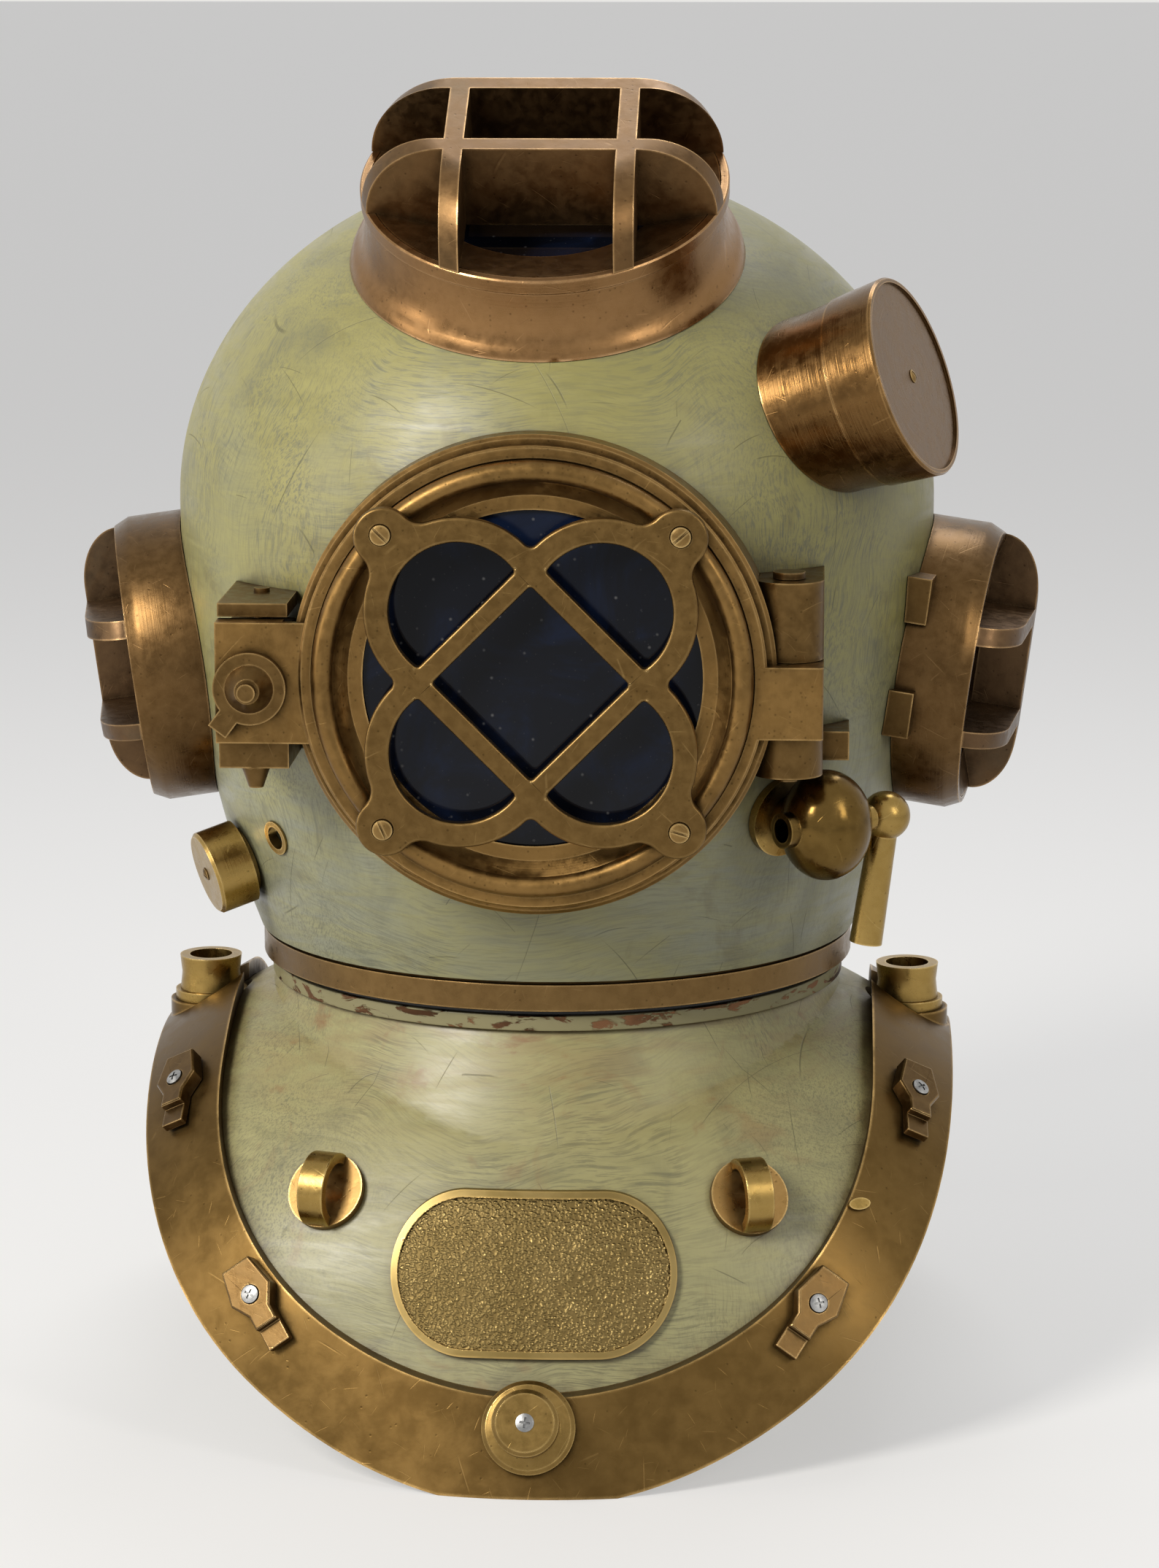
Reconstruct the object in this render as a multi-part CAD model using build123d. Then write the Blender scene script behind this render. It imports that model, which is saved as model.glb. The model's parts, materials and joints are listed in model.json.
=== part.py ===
"""Copper diving helmet with its breastplate, in millimetres.

+Z is up, -Y is the front with the door, +X is the right side seen from the front.
The bonnet turns on the breastplate's neck ring. The origin is under the middle,
on the plane that the two skirts stand on.
"""
import math
import os

from build123d import *

# Fits shared by all pieces
seat_gap = 0.3        # curved seat between two pieces
bore_gap = 0.06       # radial room of a pin in its bore
play = 0.3            # room between flat faces that slide or swing
swing_gap = 0.9       # room round a piece that swings past its neighbour
overrun = 40.0        # how far cutters reach past what they cut
ellipse_steps = 8     # spans in each elliptical curve

# Bonnet shell, a turned form of two half ellipses
bonnet_radius = 150.0
bonnet_rise = 131.0
bonnet_fall = 286.0
bonnet_mid_z = 349.0
bonnet_bottom_z = 177.5
bonnet_wall = 3.0
bonnet_crown_flat = 1.5

# Neck rings and their locking lugs
neck_band_radius = 119.0
neck_band_bottom_z = 165.5
neck_step_z = 176.0
neck_step_depth = 1.7
neck_lip_height = 7.0
neck_lip_wall = 3.5
neck_bore_radius = 111.6
neck_lug_reach = 3.3
neck_lug_angle = 40.0
neck_lug_count = 4
bonnet_lug_top_z = 169.7
bonnet_lug_height = 3.9
collar_band_radius = 115.5
collar_bottom_z = 157.0
collar_band_top_z = 163.0
upstand_bore_radius = 104.0
upstand_radius = 108.0
upstand_top_z = 175.0
collar_lug_bottom_z = 170.0
collar_lug_height = 4.5
collar_lug_reach = 3.0
gasket_inner_radius = 109.0
gasket_outer_radius = 114.0
gasket_height = 2.2

# Front door opening
door_z = 301.0
door_stand = 6.0
door_seat_y = bonnet_radius + door_stand
frame_radius = 89.5
frame_bore_radius = 72.0
frame_gap = 0.5
frame_depth = 62.0
frame_edge = 1.5
seal_inner_radius = 76.0
seal_outer_radius = 82.0
seal_depth = 1.3
seal_stand = 0.2

# Door ring profile, radii and heights above the seat plane
door_radius = 86.0
door_rim_height = 5.0
door_rim_chamfer = 0.8
door_groove_radius = 81.5
door_groove_depth = 1.0
bead_radius = 4.0
bead_centre_radius = 77.0
bead_centre_height = 7.0
slope_top_radius = 73.2
slope_top_height = 8.0
slope_foot_radius = 68.0
slope_foot_height = 4.0
door_glass_view_radius = 62.5
door_lip_wall = 1.1
door_pocket_radius = 68.0
door_glass_radius = 65.7
door_glass_thickness = 7.2
door_gasket_height = 0.6
door_gasket_inner_radius = 62.8
clamp_outer_radius = 67.6
clamp_inner_radius = 61.0
clamp_lip = 1.0

# Door grille
grille_lobe_radius = 34.7
grille_lobe_offset = 26.3
grille_ear_radius = 10.9
grille_ear_offset = 53.5
grille_ear_fillet = 8.0
grille_cusp_fillet = 3.0
grille_window_half = 36.0
grille_petal_radius = 25.5
grille_bar = 7.7
grille_corner_fillet = 1.5
grille_thickness = 4.5
grille_chamfer = 0.7
grille_screw_radius = 3.7
grille_screw_head = 1.6
grille_shank_radius = 2.2

# Door hinge
hinge_x = 93.5
hinge_setback = 16.0
hinge_y = door_seat_y - hinge_setback
knuckle_radius = 13.0
hinge_lower_z = 263.0
hinge_middle_low_z = 279.0
hinge_middle_high_z = 306.5
hinge_upper_z = 336.0
hinge_pin_radius = 4.0
hinge_pin_head_radius = 6.0
hinge_pin_head_height = 2.5
hinge_corner_fillet = 2.0
hinge_rest_size = 11.0
hinge_rest_x = 111.0

# Latch beside the door
latch_x = 104.0
latch_z = 297.0
latch_arm_left = 117.0
latch_arm_right = 80.0
latch_arm_low_z = 276.0
latch_arm_high_z = 321.0
latch_arm_face = 3.5
latch_arm_back = 8.0
latch_step_x = 92.3
latch_block_width = 24.0
latch_block_height = 36.0
latch_lug_thickness = 5.0
latch_lug_setback = 5.0
latch_lug_face_y = door_seat_y - latch_lug_setback
latch_lug_left = 117.0
latch_lug_right = 91.0
latch_tip_height = 8.0
latch_tip_radius = 5.5
latch_pin_radius = 3.0
latch_pin_setback = 35.0
latch_pin_y = door_seat_y - latch_pin_setback
wing_screw_radius = 4.0
wing_screw_reach = 21.0
wing_disc_radius = 13.5
wing_disc_height = 4.0
wing_cone_height = 6.0
wing_cone_foot_radius = 9.0
wing_cone_top_radius = 4.6
wing_stud_height = 3.5
wing_stud_radius = 3.4
wing_tab_reach = 20.0
wing_tab_width = 8.0
wing_tab_angle = 233.0
wing_hole_gap = 1.2

# Top window
top_window_y = 62.0
top_window_z = 445.0
top_window_tilt = 29.0
top_foot_radius = 76.0
top_foot_depth = 16.0
top_foot_height = 9.5
top_step_radius = 72.4
top_waist_radius = 67.4
top_waist_height = 31.0
top_rim_radius = 69.6
top_height = 38.0
top_seat_radius = 66.4
top_view_radius = 45.0
top_floor_drop = 5.0
top_clamp_height = 10.0
top_cage_rise = 28.0
top_cage_flat = 42.5
top_bar = 7.4
top_bar_x = 32.0
top_hoop_back = 23.0
top_hoop_front = 20.0

# Side windows, described for the right one and mirrored to the left
side_window_inset = 6.0
side_window_x = bonnet_radius - side_window_inset
side_window_y = 0.5
side_window_z = 284.5
side_window_turn = 8.0
side_window_dip = 7.5
side_radius = 57.5
side_skirt = 22.0
side_edge_height = 21.0
side_height = 27.0
side_rim_radius = 54.6
side_seat_radius = 52.4
side_view_radius = 40.0
side_floor_drop = 4.0
side_clamp_height = 8.0
side_cage_rise = 16.0
side_cage_flat = 33.0
side_bar = 7.0
side_bar_spread = 20.5
side_hoop_back = 19.0

# Window glass and its seat, shared by the three round windows
window_glass_thickness = 6.0
window_glass_overlap = 3.0

# Blocks beside the right window
block_height = 18.0
block_out = 7.0
block_in = 14.0
block_front = 64.0
block_rise = (31.5, -12.5)

# Exhaust valve
exhaust_angle = 52.0
exhaust_z = 396.0
exhaust_turn = 70.0
exhaust_rise = 19.0
exhaust_foot_radius = 35.0
exhaust_body_radius = 36.2
exhaust_body_height = 12.0
exhaust_bore_radius = 30.0
exhaust_seat_height = 5.0
exhaust_seat_thickness = 4.0
exhaust_passage_radius = 24.0
exhaust_port_radius = 5.5
exhaust_port_offset = 12.5
exhaust_port_count = 6
exhaust_cap_radius = 36.8
exhaust_face_radius = 38.5
exhaust_top_height = 33.0
exhaust_cap_wall = 4.0
exhaust_cap_recess = 1.0
exhaust_rim_width = 2.2
exhaust_spigot_radius = 29.6
exhaust_spigot_wall = 3.0
exhaust_spigot_depth = 4.5
exhaust_disc_radius = 20.0
exhaust_disc_height = 2.5
exhaust_stem_radius = 3.0
exhaust_stem_top = 18.0
exhaust_stem_inner = 24.0
chin_button_radius = 14.0
chin_button_height = 4.0
exhaust_foot_depth = 26.0

# Spit tap
tap_angle = 41.3
tap_z = 240.5
tap_flange_radius = 16.0
tap_flange_height = 3.0
tap_neck_radius = 9.0
tap_ball_side = 0.6
tap_ball_rise = 4.6
tap_ball_stand = 23.7
tap_ball_radius = 17.5
tap_ball_half_height = 21.0
tap_ball_flat = 1.0
tap_ball_seam_turn = -90.0
tap_outlet_radius = 6.8
tap_outlet_bore = 4.6
tap_outlet_reach = 20.5
tap_outlet_depth = 12.0
tap_outlet_turn = 126.0
tap_axis_turn = 40.4
tap_knob_distance = 29.8
tap_knob_radius = 9.4
tap_spindle_radius = 5.0
tap_spindle_depth = 9.0
tap_flat_distance = 18.6
tap_rod_top_radius = 5.4
tap_rod_end_radius = 6.3
tap_rod_length = 50.0
tap_rod_lean = 8.0

# Small knob and the bush of the small hole
knob_angle = -66.0
knob_z = 210.0
knob_base_radius = 13.0
knob_base_height = 1.6
knob_base_depth = 6.0
knob_radius = 16.7
knob_height = 15.5
knob_spindle_radius = 4.0
knob_spindle_height = 11.0
knob_edge = 1.2
bush_angle = -50.0
bush_z = 225.7
bush_lip_radius = 6.9
bush_lip_height = 0.9
bush_tube_radius = 5.6
bush_bore_radius = 4.6

# Hose elbows at the back
air_angle = 150.0
phone_angle = -150.0
elbow_z = 262.0
elbow_flange_radius = 21.0
elbow_flange_height = 3.5
elbow_straight = 12.0
elbow_bend = 17.0
elbow_turn = 60.0
elbow_drop = 18.0
air_tube_radius = 13.0
air_bore_radius = 9.5
air_thread_radius = 14.5
phone_tube_radius = 10.0
phone_bore_radius = 7.0
phone_thread_radius = 11.5
elbow_thread_length = 16.0

# Breastplate form: a profile turned about a low front-to-back line
yoke_radius = 175.4
yoke_centre_z = 5.0
yoke_lean = 24.0
yoke_turn_z = -75.0
yoke_wall = 3.0
neck_cone_top_radius = 113.0
neck_cone_foot_radius = 136.0
neck_cone_foot_z = 115.0
neck_cone_wall = 4.0

# Rim straps
rim_half_width = 160.0
rim_half_height = 136.0
rim_inner_half_width = 127.6
rim_inner_half_height = 99.0
rim_centre_z = 133.0
rim_thickness = 6.0
rim_split = 0.3

# Shoulder nuts and their pads
shoulder_x = 142.0
pad_radius = 16.5
pad_floor_z = 135.0
pad_top_z = 141.0
pad_cup_wall = 3.0
washer_radius = 14.5
washer_height = 4.0
nut_radius = 12.6
nut_height = 14.0
nut_bore_radius = 8.6
nut_bore_depth = 10.0
nut_waist = 0.8

# Turn buttons on the rim straps
button_places = ((142.6, 123.0, -40.0), (105.0, 62.5, -40.0))
button_half_length = 13.5
button_half_width = 9.2
button_top_half_width = 6.3
button_foot_half_width = 4.8
button_shoulder_share = 0.55
button_thickness = 6.3
button_tongue_length = 8.5
button_tongue_height = 3.2
button_chamfer = 0.6
button_screw_radius = 3.4
button_screw_head = 0.9
button_shank_radius = 1.8
button_shank_depth = 5.0

# Knobs at the bottom of the rim, front and back
rim_knob_z = 24.0
rim_knob_flange_radius = 17.5
rim_knob_flange_height = 4.5
rim_knob_stem_radius = 8.0
rim_knob_disc_radius = 12.4
rim_knob_disc_low = 16.0
rim_knob_top = 25.0
rim_knob_edge = 1.6
rim_knob_pin_radius = 3.0
rim_knob_pin_depth = 5.0

# Eyelets, name plate and rivet on the front
eyelet_x = 80.0
eyelet_z = 98.0
eyelet_base_radius = 15.0
eyelet_base_height = 3.0
eyelet_loop_radius = 14.5
eyelet_loop_inner = 10.5
eyelet_loop_width = 10.5
plate_z = 74.6
plate_length = 108.0
plate_height = 57.0
plate_thickness = 1.2
plate_rim_width = 2.6
plate_rim_height = 0.8
rivet_x = 122.0
rivet_z = 94.0
rivet_half_length = 4.6
rivet_half_height = 2.4
rivet_height = 1.2


# Helpers
def turned(points):
    """Solid turned about Z from an outline of (radius, height) points."""
    outline = Polyline(*points, close=True)
    return revolve(Plane.XZ * make_face(outline), Axis.Z)


def drum(radius, low, high):
    """Upright cylinder between two heights."""
    return Pos(0, 0, (low + high) / 2) * Cylinder(radius, high - low)


def block(x_pair, y_pair, z_pair):
    """Box between three pairs of limits."""
    size = [pair[1] - pair[0] for pair in (x_pair, y_pair, z_pair)]
    middle = [(pair[0] + pair[1]) / 2 for pair in (x_pair, y_pair, z_pair)]
    return Pos(*middle) * Box(*size)


def ellipse_curve(middle, across, up, start, stop):
    """Smooth curve through points of an ellipse, between two angles in degrees."""
    angles = [math.radians(start + (stop - start) * step / ellipse_steps) for step in range(ellipse_steps + 1)]
    points = [(middle[0] + across * math.cos(a), middle[1] + up * math.sin(a)) for a in angles]
    ends = [Vector(-across * math.sin(a), up * math.cos(a)) for a in (angles[0], angles[-1])]
    points = [Vector(*point) for point in points]
    return Edge.make_spline(points, tangents=ends, parameters=angles, scale=False)


def mirrored(solid):
    """The same solid on the other side of the middle plane."""
    return mirror(solid, Plane.YZ)


def turned_back(solid):
    """The same solid half a turn round the upright middle line."""
    return Rot(0, 0, 180) * solid


def flat_direction(turn):
    """Level direction, turned from the front towards +X."""
    angle = math.radians(turn)
    return (math.sin(angle), -math.cos(angle), 0.0)


# Bonnet shell
def bonnet_form(grow):
    """Filled outer form of the bonnet, grown or shrunk by a distance."""
    radius = bonnet_radius + grow
    rise = bonnet_rise + grow
    fall = bonnet_fall + grow
    middle = (0, bonnet_mid_z)
    flat_angle = math.degrees(math.asin(bonnet_crown_flat / radius))
    upper = ellipse_curve(middle, radius, rise, 0, 90 - flat_angle)
    lower = ellipse_curve(middle, radius, fall, flat_angle - 90, 0)
    high = upper @ 1
    low = lower @ 0
    rest = Polyline((high.X, high.Y), (0, high.Y), (0, low.Y), (low.X, low.Y))
    return revolve(Plane.XZ * make_face([upper, lower, rest]), Axis.Z)


def bonnet_plane(turn, height):
    """Plane on the bonnet's surface: z points out, x runs level."""
    fall = bonnet_fall if height < bonnet_mid_z else bonnet_rise
    rise = height - bonnet_mid_z
    radius = bonnet_radius * math.sqrt(1 - (rise / fall) ** 2)
    level = flat_direction(turn)
    point = (radius * level[0], radius * level[1], height)
    slope = rise * bonnet_radius ** 2 / (radius * fall ** 2)
    outward = (level[0], level[1], slope)
    side = flat_direction(turn + 90)
    return Plane(origin=point, x_dir=side, z_dir=outward)


def top_plane():
    lean = math.radians(top_window_tilt)
    axis = (0, -math.sin(lean), math.cos(lean))
    return Plane(origin=(0, -top_window_y, top_window_z), x_dir=(1, 0, 0), z_dir=axis)


def side_plane():
    turn = math.radians(side_window_turn)
    dip = math.radians(side_window_dip)
    level = math.cos(dip)
    axis = (math.cos(turn) * level, -math.sin(turn) * level, -math.sin(dip))
    rear = (math.sin(turn), math.cos(turn), 0)
    origin = (side_window_x, -side_window_y, side_window_z)
    return Plane(origin=origin, x_dir=rear, z_dir=axis)


def door_plane():
    return Plane(origin=(0, -door_seat_y, door_z), x_dir=(1, 0, 0), z_dir=(0, -1, 0))


def exhaust_plane():
    seat = bonnet_plane(exhaust_angle, exhaust_z).origin
    level = flat_direction(exhaust_turn)
    rise = math.radians(exhaust_rise)
    flat = math.cos(rise)
    axis = (level[0] * flat, level[1] * flat, math.sin(rise))
    return Plane(origin=seat, x_dir=flat_direction(exhaust_turn + 90), z_dir=axis)


def bonnet_shell():
    shell = bonnet_form(0) - bonnet_form(-bonnet_wall)
    shell -= drum(bonnet_radius, bonnet_mid_z - bonnet_fall, bonnet_bottom_z)
    shell -= door_plane() * drum(frame_bore_radius, -door_seat_y, overrun)
    shell -= top_plane() * drum(top_view_radius, -overrun, overrun)
    side_hole = side_plane() * drum(side_view_radius, -overrun, overrun)
    shell -= side_hole
    shell -= mirrored(side_hole)
    shell -= exhaust_plane() * drum(exhaust_passage_radius + seat_gap, -overrun, overrun)
    shell -= bonnet_plane(bush_angle, bush_z) * drum(bush_tube_radius + seat_gap, -overrun, overrun)
    shell -= bonnet_plane(air_angle, elbow_z) * drum(air_bore_radius, -overrun, overrun)
    shell -= bonnet_plane(phone_angle, elbow_z) * drum(phone_bore_radius, -overrun, overrun)
    return shell


# Neck rings
def sector_lugs(inner, outer, low, high, first_angle):
    """Evenly spaced ring sectors that lock one neck ring under the other."""
    ring = drum(outer, low, high) - drum(inner, low - overrun, high + overrun)
    reach = 2 * outer
    half = math.radians(neck_lug_angle / 2)
    across = reach * math.tan(half)
    wedge_face = make_face(Polyline((0, 0), (reach, -across), (reach, across), close=True))
    wedge = Pos(0, 0, low - overrun) * extrude(wedge_face, high - low + 2 * overrun)
    lugs = []
    for index in range(neck_lug_count):
        angle = first_angle + index * 360 / neck_lug_count
        lugs.append(ring & (Rot(0, 0, angle) * wedge))
    return lugs


def bonnet_neck_ring():
    step_radius = neck_band_radius - neck_step_depth
    lip_foot = step_radius - bonnet_wall / 2
    lip_rise = neck_lip_height / 3
    ring = turned([
        (neck_bore_radius, neck_band_bottom_z),
        (neck_band_radius, neck_band_bottom_z),
        (neck_band_radius, neck_step_z),
        (step_radius, neck_step_z),
        (step_radius, bonnet_bottom_z - seat_gap),
        (lip_foot - neck_step_depth, bonnet_bottom_z - seat_gap),
        (lip_foot - neck_step_depth + lip_rise, bonnet_bottom_z + neck_lip_height),
        (lip_foot - neck_lip_wall, bonnet_bottom_z + neck_lip_height),
        (neck_bore_radius, bonnet_bottom_z - neck_lip_wall),
    ])
    inner = neck_bore_radius - neck_lug_reach
    low = bonnet_lug_top_z - bonnet_lug_height
    outer = neck_bore_radius + neck_lug_reach
    for lug in sector_lugs(inner, outer, low, bonnet_lug_top_z, 0):
        ring += lug
    return ring


def breastplate_neck_ring():
    ring = turned([
        (upstand_bore_radius, collar_bottom_z),
        (collar_band_radius, collar_bottom_z),
        (collar_band_radius, collar_band_top_z),
        (upstand_radius, collar_band_top_z),
        (upstand_radius, upstand_top_z),
        (upstand_bore_radius, upstand_top_z),
    ])
    outer = upstand_radius + collar_lug_reach
    inner = upstand_bore_radius + collar_lug_reach
    high = collar_lug_bottom_z + collar_lug_height
    for lug in sector_lugs(inner, outer, collar_lug_bottom_z, high, 0):
        ring += lug
    return ring


def neck_gasket():
    low = collar_band_top_z
    high = low + gasket_height
    return drum(gasket_outer_radius, low, high) - drum(gasket_inner_radius, low, high)


# Round windows
def window_floor(seat_radius, view_radius, rim_height, floor_drop, clamp_height):
    """Clamp ring inside a window collar, with its sloping front face."""
    low = rim_height - clamp_height
    return turned([
        (view_radius, low),
        (seat_radius - seat_gap, low),
        (seat_radius - seat_gap, rim_height),
        (view_radius, rim_height - floor_drop),
    ])


def window_glass(view_radius, rim_height, clamp_height):
    high = rim_height - clamp_height
    return drum(view_radius + window_glass_overlap, high - window_glass_thickness, high)


def window_seat(outer_points, seat_radius, view_radius, rim_height, clamp_height):
    """Collar with a pocket for glass and clamp ring, before it meets the shell."""
    shelf = rim_height - clamp_height
    glass_radius = view_radius + window_glass_overlap + seat_gap
    bottom = outer_points[0][1]
    inner_points = [
        (seat_radius, rim_height),
        (seat_radius, shelf),
        (glass_radius, shelf),
        (glass_radius, shelf - window_glass_thickness),
        (view_radius, shelf - window_glass_thickness),
        (view_radius, bottom),
    ]
    return turned(outer_points + inner_points)


def dome(radius, flat, base, rise):
    """Filled cage form: level top with a quarter-ellipse shoulder."""
    shoulder = ellipse_curve((flat, base), radius - flat, rise, 0, 90)
    top = Line((flat, base + rise), (0, base + rise))
    spine = Line((0, base + rise), (0, base))
    foot = Line((0, base), (radius, base))
    return revolve(Plane.XZ * make_face([shoulder, top, spine, foot]), Axis.Z)


def top_collar():
    rim_low = top_waist_height + (top_rim_radius - top_waist_radius) / 2
    edge = (top_rim_radius - top_waist_radius) / 4
    step = top_foot_radius - top_step_radius
    mid_radius = (top_step_radius + top_waist_radius) / 2
    mid_height = top_foot_height + (top_waist_height - top_foot_height) / 4
    points = [
        (top_foot_radius, -top_foot_depth),
        (top_foot_radius, 0),
        (top_foot_radius - step / 8, top_foot_height / 3),
        (top_foot_radius - step / 3, top_foot_height * 2 / 3),
        (top_foot_radius - step * 3 / 4, top_foot_height),
        (top_step_radius, top_foot_height + step / 4),
        (mid_radius, mid_height),
        (top_waist_radius + edge, (mid_height + top_waist_height) / 2),
        (top_waist_radius, top_waist_height),
        (top_rim_radius - edge, rim_low),
        (top_rim_radius, rim_low + edge),
        (top_rim_radius, top_height - edge),
        (top_rim_radius - edge, top_height),
    ]
    collar = window_seat(points, top_seat_radius, top_view_radius, top_height, top_clamp_height)
    return top_plane() * collar - bonnet_form(seat_gap)


def top_guard():
    ring = window_floor(top_seat_radius, top_view_radius, top_height, top_floor_drop, top_clamp_height)
    half = top_bar / 2
    reach = top_foot_radius
    heights = (top_height - top_floor_drop, top_height + top_cage_rise + overrun)
    strips = []
    for middle in (top_hoop_back, -top_hoop_front):
        strips.append(block((-reach, reach), (middle - half, middle + half), heights))
    for middle in (top_bar_x, -top_bar_x):
        strips.append(block((middle - half, middle + half), (-reach, top_hoop_back), heights))
    form = dome(top_rim_radius, top_cage_flat, top_height, top_cage_rise)
    for strip in strips:
        ring += form & strip
        ring += inner_web(strip, top_seat_radius - seat_gap, heights[0], top_height)
    return top_plane() * ring


def inner_web(strip, radius, low, high):
    """Part of a cage bar that goes down inside the collar to the clamp ring."""
    return strip & drum(radius, low, high)


def side_collar():
    points = [
        (side_radius, -side_skirt),
        (side_radius, side_edge_height),
        (side_rim_radius, side_height),
    ]
    collar = window_seat(points, side_seat_radius, side_view_radius, side_height, side_clamp_height)
    return side_plane() * collar - bonnet_form(seat_gap)


def side_guard():
    ring = window_floor(side_seat_radius, side_view_radius, side_height, side_floor_drop, side_clamp_height)
    half = side_bar / 2
    reach = side_radius
    heights = (side_height - side_floor_drop, side_height + side_cage_rise + overrun)
    strips = [block((side_hoop_back - half, side_hoop_back + half), (-reach, reach), heights)]
    for middle in (side_bar_spread, -side_bar_spread):
        strips.append(block((-reach, side_hoop_back), (middle - half, middle + half), heights))
    form = dome(side_rim_radius, side_cage_flat, side_height, side_cage_rise)
    for strip in strips:
        ring += form & strip
        ring += inner_web(strip, side_seat_radius - seat_gap, heights[0], side_height)
    return side_plane() * ring


def side_glass():
    return side_plane() * window_glass(side_view_radius, side_height, side_clamp_height)


def right_blocks():
    """Two square blocks in the corner between the right collar and the shell."""
    solids = []
    clear = drum(side_radius + seat_gap, -overrun, overrun)
    for rise in block_rise:
        front = -math.sqrt(block_front ** 2 - rise ** 2)
        y_pair = (rise - block_height / 2, rise + block_height / 2)
        body = block((front, 0), y_pair, (-block_in, block_out)) - clear
        body = side_plane() * body - bonnet_form(seat_gap)
        solids.append(body.solids().sort_by(SortBy.VOLUME)[-1])
    return Compound(children=solids)


# Front door and its frame
def hinge_bar(radius, low, high):
    """Upright cylinder on the hinge line."""
    return Pos(hinge_x, -hinge_y, 0) * drum(radius, low, high)


def door_frame():
    face = -frame_gap
    groove = face - seal_depth
    frame = turned([
        (frame_bore_radius, -frame_depth),
        (frame_radius, -frame_depth),
        (frame_radius, face - frame_edge),
        (frame_radius - frame_edge, face),
        (seal_outer_radius + seal_stand, face),
        (seal_outer_radius + seal_stand, groove),
        (seal_inner_radius - seal_stand, groove),
        (seal_inner_radius - seal_stand, face),
        (frame_bore_radius, face),
    ])
    frame = door_plane() * frame
    frame -= hinge_bar(knuckle_radius + swing_gap, hinge_lower_z - play, hinge_upper_z + play)
    return frame - bonnet_form(seat_gap)


def door_seal():
    low = -frame_gap - seal_depth
    high = -frame_gap + seal_stand
    ring = drum(seal_outer_radius, low, high) - drum(seal_inner_radius, low, high)
    return door_plane() * ring - hinge_bar(knuckle_radius + swing_gap, hinge_lower_z, hinge_upper_z)


def hinge_lugs():
    solids = []
    foot_y = (-hinge_y, -bonnet_radius / 2)
    span = (hinge_x - knuckle_radius, hinge_x + knuckle_radius)
    clear = door_plane() * drum(frame_radius + seat_gap, -door_seat_y, 0)
    bore = hinge_bar(hinge_pin_radius + bore_gap, hinge_lower_z - overrun, hinge_upper_z + overrun)
    heights = ((hinge_lower_z, hinge_middle_low_z), (hinge_middle_high_z, hinge_upper_z))
    for low, high in heights:
        foot = block(span, foot_y, (low, high)) - clear
        solids.append((hinge_bar(knuckle_radius, low, high) + foot) - bore - bonnet_form(seat_gap))
    half = hinge_rest_size / 2
    rest = block((hinge_rest_x - half, hinge_rest_x + half), (-bonnet_radius * 3 / 4, -bonnet_radius / 2),
                 (hinge_lower_z, hinge_lower_z + hinge_rest_size))
    solids.append(rest - bonnet_form(seat_gap))
    return Compound(children=[piece for item in solids for piece in item.solids()])


def hinge_pin():
    pin = hinge_bar(hinge_pin_radius, hinge_lower_z - hinge_pin_head_height, hinge_upper_z + play)
    head_low = hinge_upper_z + play
    return pin + hinge_bar(hinge_pin_head_radius, head_low, head_low + hinge_pin_head_height)


def door_ring():
    bead_low = door_rim_height - door_groove_depth
    groove_inner = bead_centre_radius + math.sqrt(bead_radius ** 2 - (bead_centre_height - bead_low) ** 2)
    bead_top = bead_centre_height + bead_radius
    lip_low = slope_foot_height - door_lip_wall
    ring_lines = Polyline(
        (slope_top_radius, slope_top_height),
        (slope_foot_radius, slope_foot_height),
        (door_glass_view_radius, slope_foot_height),
        (door_glass_view_radius, lip_low),
        (door_pocket_radius, lip_low),
        (door_pocket_radius, 0),
        (door_radius, 0),
        (door_radius, door_rim_height - door_rim_chamfer),
        (door_radius - door_rim_chamfer, door_rim_height),
        (door_groove_radius, door_rim_height),
        (door_groove_radius, bead_low),
        (groove_inner, bead_low),
    )
    bead = ThreePointArc((groove_inner, bead_low), (bead_centre_radius, bead_top),
                         (slope_top_radius, slope_top_height))
    ring = revolve(Plane.XZ * make_face([ring_lines, bead]), Axis.Z)
    ring += hinge_knuckle()
    ring += latch_arm()
    for x, y in grille_corners(bead_centre_radius):
        ring -= Pos(x, y, 0) * drum(grille_shank_radius, door_rim_height / 2, overrun)
    ring -= Pos(-latch_x, latch_z - door_z, 0) * drum(wing_screw_radius + bore_gap, -overrun, overrun)
    return door_plane() * ring


def to_door(solid):
    """Carries a solid from the shared frame into the door's own frame."""
    return door_plane().location.inverse() * solid


def hinge_knuckle():
    low = hinge_middle_low_z + play
    high = hinge_middle_high_z - play
    front = -door_seat_y - door_rim_height
    plate = block((door_groove_radius - knuckle_radius, hinge_x + knuckle_radius),
                  (front, -door_seat_y), (low, high))
    side = block((hinge_x, hinge_x + knuckle_radius), (front, -hinge_y), (low, high))
    knuckle = side + plate
    corner = knuckle.edges().filter_by(Axis.Z).sort_by(Axis.X)[-2:].sort_by(Axis.Y)[0]
    knuckle = fillet(corner, hinge_corner_fillet)
    knuckle += hinge_bar(knuckle_radius, low, high)
    knuckle -= hinge_bar(hinge_pin_radius + bore_gap, low - overrun, high + overrun)
    return to_door(knuckle) - drum(door_groove_radius, -overrun, overrun)


def latch_arm():
    heights = (latch_arm_low_z - door_z, latch_arm_high_z - door_z)
    plate = block((-latch_arm_left, -latch_arm_right), heights, (0, latch_arm_face))
    plate += block((-latch_arm_left, -latch_step_x), heights, (-latch_arm_back, latch_arm_face))
    return plate - drum(door_groove_radius + door_rim_chamfer, -overrun, overrun)


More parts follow.
